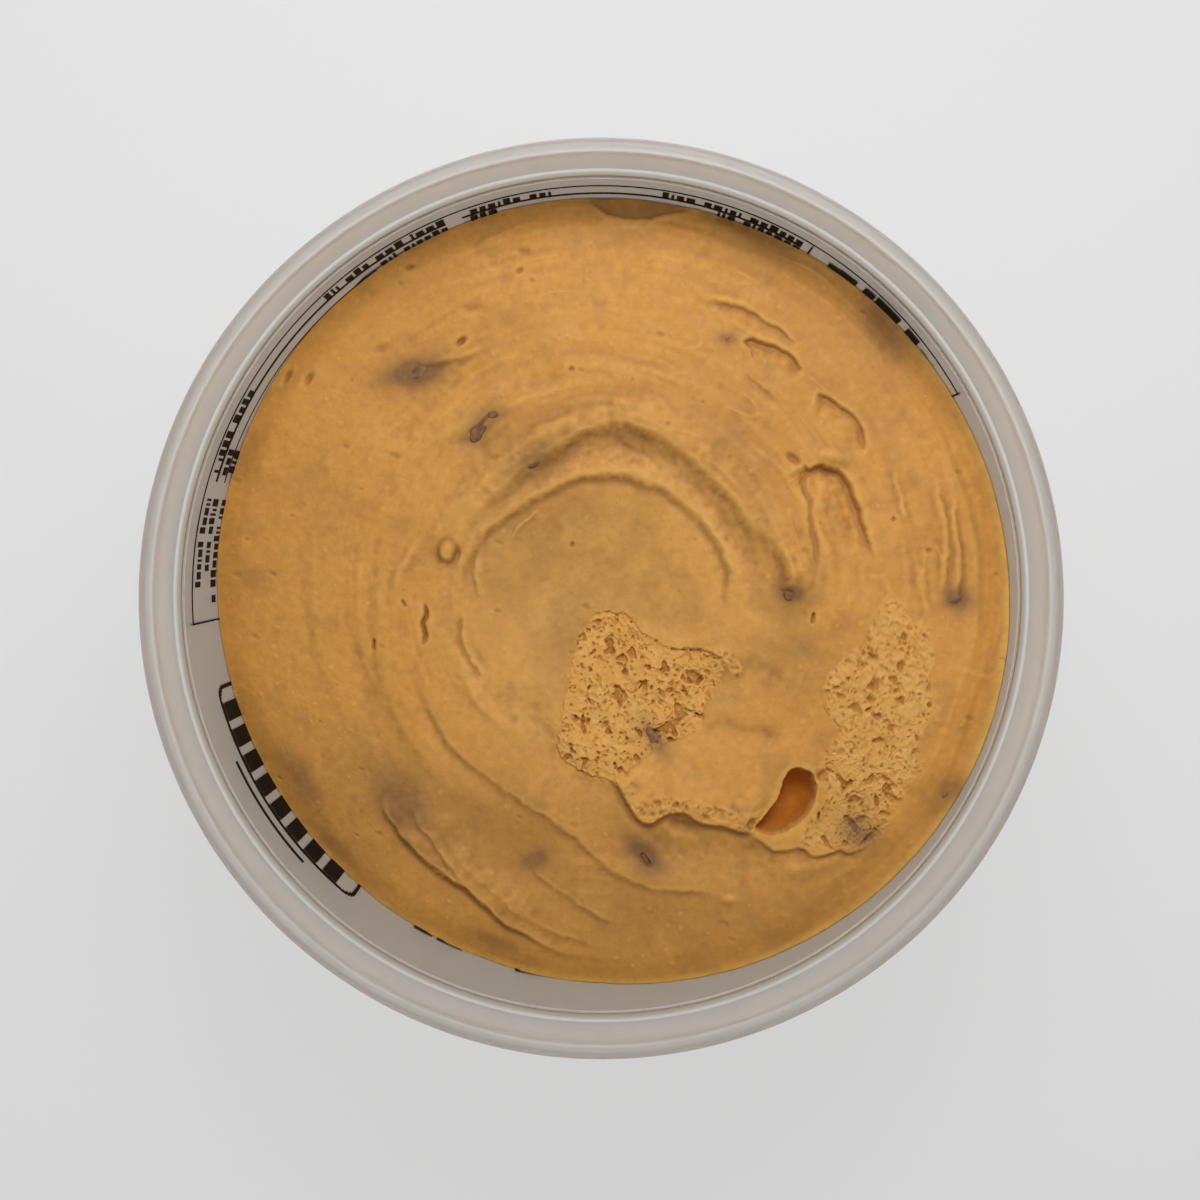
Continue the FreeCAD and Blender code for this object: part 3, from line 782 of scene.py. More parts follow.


# darker patches, some a duller tone of the spread and some painted shade (the bubble's shaded side,
# valleys, the hollow under the torn edge): place, radius, stretch, turn, share
DARK_PATCHES_AND_SHADE = [
    ((-12, 8), 8, 1.5, 60, 0.3), ((-5, -9), 4.5, 2.0, 80, 0.38), ((-1, 15), 7, 2.2, 10, 0.15),
    ((-3, 11.5), 3.5, 1.6, -20, 0.3), ((21, 8), 5, 1.8, -60, 0.3), ((22, 28), 7, 1.8, -35, 0.2),
    ((30, 38), 7, 2.2, -45, 0.3), ((-38, 12), 6, 1.6, 80, 0.15), ((-24, 40), 7, 1.6, 30, 0.22),
    ((4, 50), 5, 3.0, 0, 0.15), ((-10, -31), 6, 2.0, -30, 0.25), ((10, -45), 6, 3.2, 8, 0.3),
    ((30, -42), 5, 2.4, 35, 0.3), ((-20, -44), 4, 2.6, -40, 0.2), ((12, -35), 3.5, 3.0, -8, 0.35),
    ((26, -11.5), 4.5, 1.4, 10, 0.4), ((18.5, 19), 5, 1.8, -50, 0.4), ((-3, 24), 5, 2.2, 20, 0.3),
    ((-13, -33), 4, 2.6, -36, 0.3), ((-19, -35.0), 5, 2.4, -42, 0.4), ((2, -43), 5, 2.6, -14, 0.25),
    ((-20.0, 5.0), 0.5, 2.2, 80, 0.4), ((-36, -34), 2.5, 3.0, -48, 0.3),
]


def spread_colours(x, y, z, rounds=14):
    """Body colour, pale in the middle, deep by the wall, dull in veins, stained by bits.

    What stands out from its surroundings gets a painted highlight, what lies in a groove
    painted shade, and the hole painted shade that deepens with its depth. Low on the right a
    thin film of the spread shows yellow along the wall.
    """
    r = np.hypot(x, y)
    middle, outside = smooth_step((32 - r) / 18), smooth_step((r - 42) / 12)
    colour = mix(SPREAD_BODY, SPREAD_PALE, 0.8 * middle + 0.3 * cloud(x, y, 9, 91))
    colour = mix(colour, SPREAD_DEEP, 0.85 * outside + 0.25 * cloud(x, y, 5, 92))
    veins = smooth_step((0.25 - np.abs(cloud(x, y, 12, 93))) / 0.25)
    veins *= smooth_step(cloud(x, y, 18, 94) + 0.6)
    colour = mix(colour, SPREAD_DULL, 0.4 * veins)
    colour = mix(colour, SPREAD_DULL, 0.35 * smooth_step(2.4 * cloud(x, y, 3.2, 95) - 0.5))
    # the dark patches: partly duller tone, partly painted shade
    for at, size, stretch, turn, share in DARK_PATCHES_AND_SHADE:
        colour = mix(colour, SPREAD_DARK_AND_SHADE, share * bump(x, y, at, size, stretch, turn))
    # painted highlight on the bubble's lump
    colour = mix(colour, SPREAD_HIGHLIGHT, 0.25 * bump(x, y, BUBBLE_AT, 0.9, 1.25, 85))
    # painted highlight on what stands out, painted shade in what lies in a groove
    relief = stands_out(z, rounds)
    colour = mix(colour, SPREAD_HIGHLIGHT, 6.0 * np.clip(relief - 0.006, 0, 0.08))
    colour = mix(colour, SPREAD_DARK_AND_SHADE, 7.0 * np.clip(-relief - 0.006, 0, 0.1))
    # painted shade in the hole, darker with its depth
    colour = mix(colour, SPREAD_HOLE_SHADE, smooth_step((1.05 - hole_share(x, y)) / 0.3))
    from_edge = inner_radius(broad_level(x, y)) - r
    thin = smooth_step(0.5 + 0.7 * np.cos(np.arctan2(y, x) + 0.7) + 0.4 * cloud(x, y, 6, 96))
    colour = mix(colour, SPREAD_FILM, 0.6 * thin * smooth_step((1.3 - from_edge) / 1.2))
    return mix(colour, MEAT_STAIN, stains(x, y))


# %% [markdown]
# ## The body of the spread
#
# The body fills the tub to the surface. Its side goes 0.15 mm into the wall and its
# underside as far into the base, because a gap of air there would show as a silver line
# through the milky plastic. The surface needs a point every 0.2 mm, which is more than one
# piece should carry, so the body is cut into four quarters like a cake. Their shared
# points are the same, and so are the directions they are shaded by, which leaves no seam.

# %% Build the spread
QUARTER = 281
SPREAD_GRID = 2 * QUARTER - 1
INTO_WALL = 0.15
FOOT_IN = FOOT_R - FOOT_WIDTH + WALL
PANEL_R = FOOT_IN - FOOT_SLOPE
HEEL_IN = FOOT_R - WALL - 1.2
SIDE_LEVELS = (0.7, 0.4, 0.12)  # the rings on the side, as shares of the edge's height


def edge_radius(angle):
    """Radius of the spread's edge: the wall's inside at the height of the surface there."""
    r = np.full_like(angle, EDGE_R)
    for _ in range(3):
        r = inner_radius(broad_level(r * np.cos(angle), r * np.sin(angle)))
    return r + INTO_WALL


def base_level(r):
    """Top of the base: low in the foot's channel, higher on the panel inside it."""
    return BASE_WALL - INTO_WALL + FOOT_HEIGHT * smooth_step((FOOT_IN - r) / FOOT_SLOPE)


def surface_normals(x, y, z):
    """Cross product of the two grid directions, at every point, facing up."""
    across = np.stack([np.gradient(k, axis=1) for k in (x, y, z)], axis=-1)
    along = np.stack([np.gradient(k, axis=0) for k in (x, y, z)], axis=-1)
    normal = np.cross(across, along)
    return normal / np.linalg.norm(normal, axis=-1, keepdims=True)


disc_x, disc_y = disc_grid(SPREAD_GRID)
edge = edge_radius(np.arctan2(disc_y, disc_x))
grid_x, grid_y = disc_x * edge, disc_y * edge
grid_skin = skin_height(grid_x, grid_y) - hole_drop(grid_x, grid_y)
grid_z = grid_skin - torn_drop(grid_x, grid_y)
grid_colour = spread_colours(grid_x, grid_y, grid_skin)
grid_normal = surface_normals(grid_x, grid_y, grid_skin)
print("surface from %.1f to %.1f mm" % (grid_z.min(), grid_z.max()))


def build_quarter(name, rows, columns):
    """A quarter of the grid, its border led down the wall, across the base and closed."""
    part = (rows, columns)
    top = np.stack([grid_x[part], grid_y[part], grid_z[part]], axis=-1)
    walk = border(QUARTER)
    share_x, share_y = disc_x[part].ravel()[walk], disc_y[part].ravel()[walk]
    rim_r = edge[part].ravel()[walk]
    rim_z = broad_level(rim_r * 0.99, 0 * rim_r)
    rings = []
    for level in SIDE_LEVELS:
        r = inner_radius(level * rim_z) + INTO_WALL
        rings.append(np.stack([share_x * r, share_y * r, level * rim_z], axis=1))
    for r in (HEEL_IN, FOOT_IN, PANEL_R):
        floor_z = base_level(r * np.hypot(share_x, share_y))
        rings.append(np.stack([share_x * r, share_y * r, floor_z], axis=1))
    centre_x, centre_y = rings[-1][:, :2].mean(axis=0)
    piece = closed_pad(name, top, rings, (centre_x, centre_y, base_level(0.0)))
    top_colour = grid_colour[part].reshape(-1, 3)
    side_colour = mix(top_colour[walk], SPREAD_BODY, np.full(len(walk), 0.6))
    give_colours(piece, np.vstack([top_colour] + len(rings) * [side_colour] + [SPREAD_BODY]))
    give_normals(piece, grid_normal[part])
    return piece


low, high = slice(0, QUARTER), slice(QUARTER - 1, SPREAD_GRID)
quarters = [
    build_quarter("spread_near_left", low, low),
    build_quarter("spread_near_right", low, high),
    build_quarter("spread_far_left", high, low),
    build_quarter("spread_far_right", high, high),
]

# %% [markdown]
# ## The torn crumb
#
# Each torn face gets its own dense grid, 0.1 to 0.15 mm, because the body's is too coarse
# for the pits. The piece meets the skin at its outline and dives under it just
# outside, so no seam shows. The right face was only grazed, so its crumb fades out slowly.

# %% Build the crumb
CRUMB_LIGHT = paint(232, 179, 98)
# painted shade for the crumb's pits
CRUMB_PIT_SHADE = paint(168, 108, 46)
CRUMB_GRID = 250
PAD_PAST = 1.3  # how far the pad goes past the outline
PAD_DIVE = 1.6  # how deep its fringe goes under the skin
PAD_THICK = 0.8
PAD_LIFT = 0.02


def build_crumb(tear):
    """A pad over the tear, out to PAD_PAST past its outline, where it dives into the body."""
    a, b = disc_grid(CRUMB_GRID)
    angle = np.arctan2(b, a)
    far = np.hypot(a, b) * (tear.reach(angle) + PAD_PAST)
    x, y = tear.centre[0] + far * np.cos(angle), tear.centre[1] + far * np.sin(angle)
    relief, pit = crumb_relief(x, y, tear.airy)
    skin = skin_height(x, y)
    inside = tear.inside(x, y)
    frayed = (0.3 + 0.25 * tear.fade) * cloud(x, y, 1.8, 85)
    torn = smooth_step((inside - 0.05 + frayed) / tear.fade)
    torn *= smooth_step((inside - 0.05) / 0.5)
    relief *= 0.55 + 0.45 * tear.airy
    pit *= 0.4 + 0.6 * tear.airy
    floor = tear.floor(x, y) + 0.75 * (skin - broad_level(x, y))
    z = skin + (floor + relief - skin) * torn
    normal = surface_normals(x, y, z)
    dive = PAD_DIVE * smooth_step((-0.1 - inside) / 0.4) + hole_drop(x, y)
    top = np.stack([x, y, z + PAD_LIFT - dive], axis=-1)
    rim = top.reshape(-1, 3)[border(CRUMB_GRID)]
    lower = rim - np.array([0, 0, PAD_THICK])
    floor_centre = (*tear.centre, lower[:, 2].mean())
    piece = closed_pad(tear.name, top, [lower], floor_centre)
    colour = mix(CRUMB_LIGHT, SPREAD_BODY, 0.4 + 0.6 * cloud(x, y, 2.6, 84))
    # painted shade in the pits, then a painted highlight on the flakes that stand out
    colour = mix(colour, CRUMB_PIT_SHADE, pit)
    colour = mix(colour, SPREAD_HIGHLIGHT, 6.0 * np.clip(stands_out(z, 14), 0, 0.15))
    colour = mix(colour, MEAT_STAIN, stains(x, y))
    # this grid is twice as fine as the body's, so it takes four times the rounds
    colour = mix(spread_colours(x, y, skin, 50), colour, torn)
    give_colours(piece, colour.reshape(-1, 3))
    give_normals(piece, normal)
    return piece


crumbs = [build_crumb(tear) for tear in TEARS]

# %% Build the bits of meat
BIT_SIZE = 0.85  # half the long and short axis, as a share of what the table gives
BIT_POLE = 0.08  # the poles are closed by small caps at this angle


def build_bits():
    """Lumps: an oval ball whose radius is swelled by noise over its two angles."""
    around = np.linspace(0, 2 * np.pi, 24, endpoint=False)
    over = np.linspace(BIT_POLE, np.pi - BIT_POLE, 13)
    turn, polar = np.meshgrid(around, over)
    points, faces, start = [], [], 0
    for number, (at, length, width, lie, proud, _) in enumerate(BITS):
        swell = 1 + 0.28 * noise(turn / (2 * np.pi) * 6, polar * 2.0, 100 + number, turn_cells=6)
        along = BIT_SIZE * length * swell * np.sin(polar) * np.cos(turn)
        across = BIT_SIZE * width * swell * np.sin(polar) * np.sin(turn)
        angle = np.radians(lie)
        at_x, at_y = float(at[0]), at[1] + MARKS_BACK
        x = at_x + along * np.cos(angle) - across * np.sin(angle)
        y = at_y + along * np.sin(angle) + across * np.cos(angle)
        ground = skin_height(np.array([at_x]), np.array([at_y]))[0]
        z = ground + 0.6 * proud - 0.02 - 0.5 * width + 0.5 * width * swell * np.cos(polar)
        rows, columns = turn.shape
        points.append(np.stack([x, y, z], axis=-1).reshape(-1, 3))
        index = start + np.arange(rows * columns).reshape(rows, columns)
        for upper, lower in zip(index[:-1], index[1:]):
            faces += ring_faces(upper, lower).tolist()
        faces += [index[0].tolist(), index[-1][::-1].tolist()]
        start += rows * columns
    return new_piece("meat_bits", np.vstack(points), faces)


bits = build_bits()

# %% [markdown]
# ## The tub
#
# The tub is a body of revolution: a thin outline carried once round the axis. The sharp
# outline is softened first, by cutting each corner back and joining the cuts with a small
# curve, because moulded plastic has no sharp edges and every round catches a highlight.
#
# Milky plastic scatters light inside itself, which the clear shader used here doesn't
# follow. So each corner of the outline also carries a share of painted light that blends
# a greyer shaded tint and a whiter lit tint: full on the outside and the rim, full on the
# two beads as a painted highlight, none on the inside of the body as painted shade, and a
# little less than none in the groove between the beads as a darker painted shade.

# %% Outline of the tub
def soften(outline, radius, steps):
    """Each corner becomes a quadratic curve from radius before it to radius after it."""
    before = np.roll(outline, 1, axis=0) - outline
    after = np.roll(outline, -1, axis=0) - outline
    size_before = np.hypot(*before.T)[:, None]
    size_after = np.hypot(*after.T)[:, None]
    cut = np.minimum(radius[:, None], 0.45 * np.minimum(size_before, size_after))
    first = outline + before / size_before * cut
    last = outline + after / size_after * cut
    t = np.linspace(0, 1, steps + 1)[None, :, None]
    curve = first[:, None] * (1 - t) ** 2 + outline[:, None] * 2 * t * (1 - t)
    return (curve + last[:, None] * t**2).reshape(-1, 2)


OUTER_LAG = WALL / 2  # the outside's shoulder is this much lower than the inside's
TUB_OUTLINE = [
    # radius, height, rounding, painted light: 0 is painted shade on the body's inside, 1 the lit tint
    # on the rim and outside, below 0 darker shade
    (FOOT_R - FOOT_WIDTH - FOOT_SLOPE, FOOT_HEIGHT, 0.4, 1.0),
    (FOOT_R - FOOT_WIDTH, 0.0, 0.5, 1.0),
    (FOOT_R, 0.0, 2.0, 1.0),
    (BODY_R + WALL, BODY_TOP_Z - OUTER_LAG, 0.5, 1.0),
    (COLLAR_R + WALL, SHOULDER_Z - OUTER_LAG, 0.4, 1.0),
    (COLLAR_R + WALL, TOP - LIP_WALL, 0.3, 1.0),
    (RIM_R - SKIRT_WALL, TOP - LIP_WALL, 0.3, 1.0),
    (RIM_R - SKIRT_WALL, TOP - SKIRT_DEPTH, 0.2, 1.0),
    (RIM_R, TOP - SKIRT_DEPTH, 0.2, 1.0),
    (RIM_R, TOP, 0.6, 1.0),
    (COLLAR_R, TOP, 0.6, 1.0),
    # the collar's bead, the groove and the body's bead: painted highlight, painted shade, painted
    # highlight
    (COLLAR_R, SHOULDER_Z + 0.9, 0.15, 0.8),
    (COLLAR_R - 0.18, SHOULDER_Z + 0.8, 0.1, 0.85),
    (COLLAR_R - 0.3, SHOULDER_Z - 0.15, 0.1, 0.0),
    (BODY_R + 0.42, BODY_TOP_Z + 0.05, 0.12, -0.3),
    (BODY_R + 0.26, BODY_TOP_Z + 0.45, 0.12, 1.0),
    (BODY_R - 0.02, BODY_TOP_Z + 0.35, 0.14, 1.0),
    (BODY_R, BODY_TOP_Z - 0.3, 0.3, 0.0),
    (FOOT_R - WALL, BASE_WALL, 1.4, 0.0),
    (FOOT_R - FOOT_WIDTH + WALL, BASE_WALL, 0.4, 0.0),
    (FOOT_R - FOOT_WIDTH - FOOT_SLOPE + WALL, FOOT_HEIGHT + BASE_WALL, 0.4, 0.0),
]
# the plastic in a shaded and a lit tint, blended by the outline's painted light
MILKY_PAINTED_SHADE = paint(177, 164, 148)
MILKY_PAINTED_LIGHT = paint(244, 243, 240)
CORNER_STEPS = 4
TUB_SEGMENTS = 300
SWAY = 0.06  # a soft rim is never quite round
SHRINK = 0.08  # so that the swaying rim stays within its true size


def build_tub():
    """The outline at every turn angle, with one pole under and one over the base."""
    table = np.array(TUB_OUTLINE)
    outline = soften(table[:, :2], table[:, 2], CORNER_STEPS)
    angle = np.linspace(0, 2 * np.pi, TUB_SEGMENTS, endpoint=False)
    r, z = outline[:, :1], outline[:, 1:]
    sway = SWAY * np.cos(2 * angle + 0.6) * smooth_step((z - SHOULDER_Z) / COLLAR_DEPTH)
    r = r - SHRINK + sway
    points = np.stack([r * np.cos(angle), r * np.sin(angle), z + 0 * angle], axis=-1).reshape(-1, 3)
    index = np.arange(len(points)).reshape(len(outline), TUB_SEGMENTS)
    faces = []
    for lower, upper in zip(index[:-1], index[1:]):
        faces += ring_faces(upper, lower).tolist()
    under, over = len(points), len(points) + 1
    points = np.vstack([points, [[0, 0, FOOT_HEIGHT], [0, 0, FOOT_HEIGHT + BASE_WALL]]])
    first, last = index[0], index[-1]
    faces += [[under, b, a] for a, b in zip(first.tolist(), np.roll(first, -1).tolist())]
    faces += [[over, a, b] for a, b in zip(last.tolist(), np.roll(last, -1).tolist())]
    piece = new_piece("tub_wall", points, faces)
    painted_light = np.repeat(table[:, 3], (CORNER_STEPS + 1) * TUB_SEGMENTS)
    painted_light = np.append(painted_light, [0, 0])[:, None]
    give_colours(piece, MILKY_PAINTED_SHADE + (MILKY_PAINTED_LIGHT - MILKY_PAINTED_SHADE) * painted_light)
    return piece


tub = build_tub()

# %% [markdown]
# ## The print
#
# The tub is printed on its outside in black, and from above the print is seen through the
# wall, back to front. Words and marks belong to a maker, so here the print is only what
# any pack has: a ruled panel whose rows are runs of small upright blocks, and a badge of
# plain shapes. Each block is a closed tile bent round the wall, as thin as a film. Where
# the spread stands behind the wall, the film is on the outside, as on the real tub. Above
# the spread it is on the inside, because milky plastic between the film and the eye would
# blur it more than the real wall does. A tile that crosses the spread's edge goes through
# the wall, so that it shows on both sides.

# %% Tiles on the wall
# how far in and out the ink may reach, measured from the outside of the wall
INK_FROM = -WALL - 0.12
INK_TO = -0.04
INK_FILM = 0.1
TILE_STEP = 2.0  # a longer tile bends in steps of this length


def outer_radius(z):
    """Outside of the body's wall."""
    return inner_radius(z) + WALL


def level_at_wall(angle):
    """Height at which the spread meets the wall."""
    return broad_level(BODY_R * np.cos(angle), BODY_R * np.sin(angle))


def wall_tile(turn_low, turn_high, low, high):
    """Eight or more points and the faces of a thin tile between two turns and heights."""
    width = np.radians(turn_high - turn_low) * BODY_R
    steps = max(1, int(np.ceil(width / TILE_STEP)))
    angle = np.radians(np.linspace(turn_low, turn_high, steps + 1))
    level = level_at_wall(angle)
    inner = np.where(high < level - 1.0, INK_TO - INK_FILM, INK_FROM)
    outer = np.where(low > level, INK_FROM + INK_FILM, INK_TO)
    corners = [(low, inner), (low, outer), (high, outer), (high, inner)]
    points = []
    for z, out in corners:
        r = outer_radius(z) + out
        points.append(np.stack([r * np.cos(angle), r * np.sin(angle), z + 0 * angle], axis=1))
    index = np.arange(4 * (steps + 1)).reshape(4, steps + 1)
    faces = []
    for k in range(4):
        a, b = index[k], index[(k + 1) % 4]
        faces += np.stack([a[:-1], a[1:], b[1:], b[:-1]], axis=1).tolist()
    faces += [index[:, 0].tolist(), index[::-1, -1].tolist()]
    return np.vstack(points), faces


def build_tiles(name, tiles):
    """Many tiles as one piece."""
    points, faces, start = [], [], 0
    for tile in tiles:
        tile_points, tile_faces = wall_tile(*tile)
        points.append(tile_points)
        faces += [[start + corner for corner in face] for face in tile_faces]
        start += len(tile_points)
    return new_piece(name, np.vstack(points), faces, smooth=False)


# %% Rows of blocks and the panel
LABEL_TOP = BODY_TOP_Z - 2.6
ROW_STEP = 2.5
BLOCK_HIGH = 1.8
BLOCK_WIDTHS = [0.32, 0.7, 0.8, 0.95]
BLOCK_HEIGHTS = [1.0, 0.72, 0.72, 0.72]
BLOCK_GAP = 0.28
GROUP_GAP = 0.75
HAIRLINE = 0.25
deal = np.random.default_rng(11)


def block_row(turn_low, turn_high, top, high=BLOCK_HIGH, weight=1.0):
    """A run of upright blocks of uneven width and height, broken by gaps between groups."""
    degree = weight * np.degrees(1.0 / outer_radius(top))
    tiles, turn_now = [], turn_low
    while turn_now < turn_high:
        for _ in range(deal.integers(3, 9)):
            width = degree * deal.choice(BLOCK_WIDTHS)
            if turn_now + width > turn_high:
                return tiles
            tall = high * deal.choice(BLOCK_HEIGHTS)
            tiles.append((turn_now, turn_now + width, top - high, top - high + tall))
            turn_now += width + degree * BLOCK_GAP
        turn_now += degree * GROUP_GAP
    return tiles


def rule(turn_low, turn_high, z, thick=HAIRLINE):
    """A line round the wall."""
    return (turn_low, turn_high, z - thick / 2, z + thick / 2)


def upright(turn, low, high):
    """A line up the wall."""
    return (turn, turn + HAIRLINE, low, high)


PANEL_START, PANEL_END = 30.0, 183.5
PANEL_FOOT = LABEL_TOP - 13.5 * ROW_STEP
DIVIDER = 59.0
HEAD_HIGH = 3.6
NOTE_HIGH = 1.7

panel = [
    rule(PANEL_START, PANEL_END, LABEL_TOP),
    rule(PANEL_START, PANEL_END, PANEL_FOOT),
    upright(PANEL_END - HAIRLINE, PANEL_FOOT, LABEL_TOP),
    upright(PANEL_START, PANEL_FOOT, LABEL_TOP),
    upright(DIVIDER, PANEL_FOOT + 2, LABEL_TOP - 1.2),
]
# a heading of three tall rows, with small rows under it
for row, end in enumerate((57, 52, 55)):
    panel += block_row(35, end, LABEL_TOP - 2.0 - row * 5.2, HEAD_HIGH, 2.3)
for row in range(6):
    panel += block_row(35, 50 + 6 * (row % 2), LABEL_TOP - 18.2 - row * ROW_STEP)
# two ruled columns: where they start, their names end, their shares start, and they end
for left, name_end, share, right in ((60.5, 82, 97, 110), (112.5, 134, 149, 163)):
    z = LABEL_TOP - 0.7
    panel += block_row(left, name_end, z, weight=1.25)
    panel += block_row(share, right, z, weight=1.25)
    panel.append(rule(left, right, z - BLOCK_HIGH - 0.45, 0.5))
    for row in range(1, 12):
        z = LABEL_TOP - 1.2 - row * ROW_STEP
        panel += block_row(left, left + deal.uniform(9, 20), z, weight=1.25)
        panel += block_row(right - 5, right, z, weight=1.25)
        panel.append(rule(left, right, z - BLOCK_HIGH - 0.35, 0.16))
# small rows of notes at the end
for row in range(10):
    panel += block_row(165.5, deal.uniform(176, 182), LABEL_TOP - 1.0 - row * 2.7, NOTE_HIGH, 1.1)
print("panel of %d tiles" % len(panel))

# %% The badge and the loose marks
BADGE_START, BADGE_END = 193.0, 230.5
BADGE_TOP = BODY_TOP_Z - 7.0
BADGE_FOOT = BADGE_TOP - 21.0
BAR_STEP = 4.1
BAR_WIDE = 2.8


def rounded_frame(left, right, foot, top, thick, turned):
    """A frame of tiles; each corner is a stair of six steps along a quarter circle."""
    degree = np.degrees(1.0 / BODY_R)
    tiles = []
    for low, high in ((foot, foot + thick), (top - thick, top)):
        tiles.append((left + turned * degree, right - turned * degree, low, high))
    for start in (left, right - thick * degree):
        tiles.append((start, start + thick * degree, foot + turned, top - turned))
    steps = np.linspace(0.0, np.pi / 2, 7)
    for a, b in zip(steps[:-1], steps[1:]):
        in_a, in_b = turned * (1 - np.cos(a)), turned * (1 - np.cos(b)) + 0.6 * thick
        up_a, up_b = turned * (1 - np.sin(b)), turned * (1 - np.sin(a)) + 0.6 * thick
        for from_turn, to_turn in ((left + in_a * degree, left + in_b * degree),
                                   (right - in_b * degree, right - in_a * degree)):
            tiles.append((from_turn, to_turn, top - up_b, top - up_a))
            tiles.append((from_turn, to_turn, foot + up_a, foot + up_b))
    return tiles


badge = rounded_frame(BADGE_START, BADGE_END, BADGE_FOOT, BADGE_TOP, 0.55, 2.2)
for number in range(8):
    left = BADGE_START + 2.6 + BAR_STEP * number
    badge.append((left, left + BAR_WIDE, BADGE_TOP - 6.4, BADGE_TOP - 1.3))
badge.append(rule(204.0, 221.5, BADGE_TOP + 2.0, 0.6))
badge.append(rule(BADGE_START + 9, BADGE_END - 9, BADGE_TOP - 8.3, 1.4))
badge += block_row(BADGE_START + 6, BADGE_END - 6, BADGE_TOP - 12.0, 2.4, 1.5)

# marks at the spread's edge: two turns, and how far they stand above it
MARK_SPOTS = [(240.5, 243.6, 0.4), (244.4, 248.6, 0.2), (257, 262, 0.0), (39, 41.5, 1.4),
              (43, 47.5, 1.8), (51, 54, 1.2)]
marks = []
for left, right, above in MARK_SPOTS:
    level = float(level_at_wall(np.radians((left + right) / 2)))
    marks.append((left, right, level - 2.0, level + above))
label_print = build_tiles("label_print", panel + badge + marks)

# %% [markdown]
# ## Finishes
#
# The spread is soft and oily: its colour comes from the points' own tint, which also holds
# its painted highlights and painted shade, and a finer grain, and its gloss is uneven. The
# crumb is drier and rougher. The tub is milky plastic, its tint painted lighter and darker
# along the outline: part of the light goes straight through and part is scattered, so print
# that touches it stays sharp while what lies behind blurs.

# %% Helpers for finishes
def join(tree, node, sockets):
    """Gives each named socket a value, or a link from another node's output."""
    for name, value in sockets.items():
        if isinstance(value, bpy.types.NodeSocket):
            tree.links.new(value, node.inputs[name])
        else:
            node.inputs[name].default_value = value
    return node


def add_node(tree, kind, sockets=None, **settings):
    """A new node with these settings and sockets."""
    node = tree.nodes.new("ShaderNode" + kind)
    for name, value in settings.items():
        setattr(node, name, value)
    return join(tree, node, sockets or {})


def new_finish(name):
    """A material, its tree and its one shader."""
    finish = bpy.data.materials.new(name)
    finish.use_nodes = True
    return finish, finish.node_tree, finish.node_tree.nodes["Principled BSDF"]


def grain(tree, scale, detail=3.0, rough=0.55):
    """Noise on Object coordinates: scale is in cells to the metre."""
    place = add_node(tree, "TexCoord").outputs["Object"]
    sockets = {"Vector": place, "Scale": scale, "Detail": detail, "Roughness": rough}
    return add_node(tree, "TexNoise", sockets).outputs["Fac"]


def span(tree, value, low, high, start=0.3, end=0.7):
    """value from start..end carried to low..high."""
    sockets = {"Value": value, "From Min": start, "From Max": end, "To Min": low, "To Max": high}
    return add_node(tree, "MapRange", sockets).outputs["Result"]


def raised(tree, value, height):
    """Bump of that height in metres."""
    return add_node(tree, "Bump", {"Height": value, "Distance": height}).outputs["Normal"]


def tinted(tree, value, low, high):
    """The attribute "tint", made darker and lighter by the value."""
    sockets = {0: add_node(tree, "VertexColor", layer_name="tint").outputs["Color"],
               "Scale": span(tree, value, low, high)}
    return add_node(tree, "VectorMath", sockets, operation="SCALE").outputs["Vector"]


# %% Finish of the spread and of its crumb
def spread_finish(name, rough_low, rough_high, grain_high):
    """A moist food: tinted base, uneven gloss, fine grain."""
    finish, tree, shader = new_finish(name)
    join(tree, shader, {
        "Base Color": tinted(tree, grain(tree, 900.0), 0.93, 1.07),
        "Roughness": span(tree, grain(tree, 320.0), rough_low, rough_high),
        "Specular IOR Level": 0.17,
        "Normal": raised(tree, grain(tree, 2600.0, 4.0, 0.6), grain_high),
    })
    return finish


spread_soft = spread_finish("spread_soft", 0.42, 0.68, 0.00006)
spread_torn = spread_finish("spread_torn", 0.46, 0.7, 0.00008)

# %% Finish of the meat, the tub and the ink
MEAT_RAMP = [(0.35, (116, 82, 64)), (0.68, (156, 112, 76))]

meat, tree, shader = new_finish("cured_meat")
ramp = add_node(tree, "ValToRGB", {"Fac": grain(tree, 1100.0)})
for stop, (position, colour) in zip(ramp.color_ramp.elements, MEAT_RAMP):
    stop.position = position
    stop.color = (*paint(*colour), 1)
join(tree, shader, {
    "Base Color": ramp.outputs["Color"],
    "Roughness": 0.55,
    "Specular IOR Level": 0.2,
    "Normal": raised(tree, grain(tree, 1800.0), 0.0001),
})

milky, tree, shader = new_finish("milky_plastic")
join(tree, shader, {
    "Base Color": tinted(tree, grain(tree, 400.0), 0.98, 1.02),
    "Transmission Weight": 0.95,
    "IOR": 1.25,
    "Roughness": 0.5,
    "Normal": raised(tree, grain(tree, 260.0), 0.00003),
})

ink, tree, shader = new_finish("black_ink")
join(tree, shader, {
    "Base Color": (*paint(18, 17, 18), 1),
    "Roughness": span(tree, grain(tree, 2000.0), 0.5, 0.7),
    "Specular IOR Level": 0.2,
})


def dress(pieces, finish):
    """Gives the pieces their finish."""
    for piece in pieces:
        piece.data.materials.append(finish)


dress(quarters, spread_soft)
dress(crumbs, spread_torn)
dress([bits], meat)
dress([tub], milky)
dress([label_print], ink)
for quarter in quarters:
    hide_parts("spread")
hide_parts("tub")

# %% [markdown]
# ## Floor, light and camera
#
# The tub stands on a pale floor under a broad soft light that comes from the far side, so
# the slopes that face away from the viewer are the bright ones. The camera looks almost
# straight down from 20 cm above the lip.

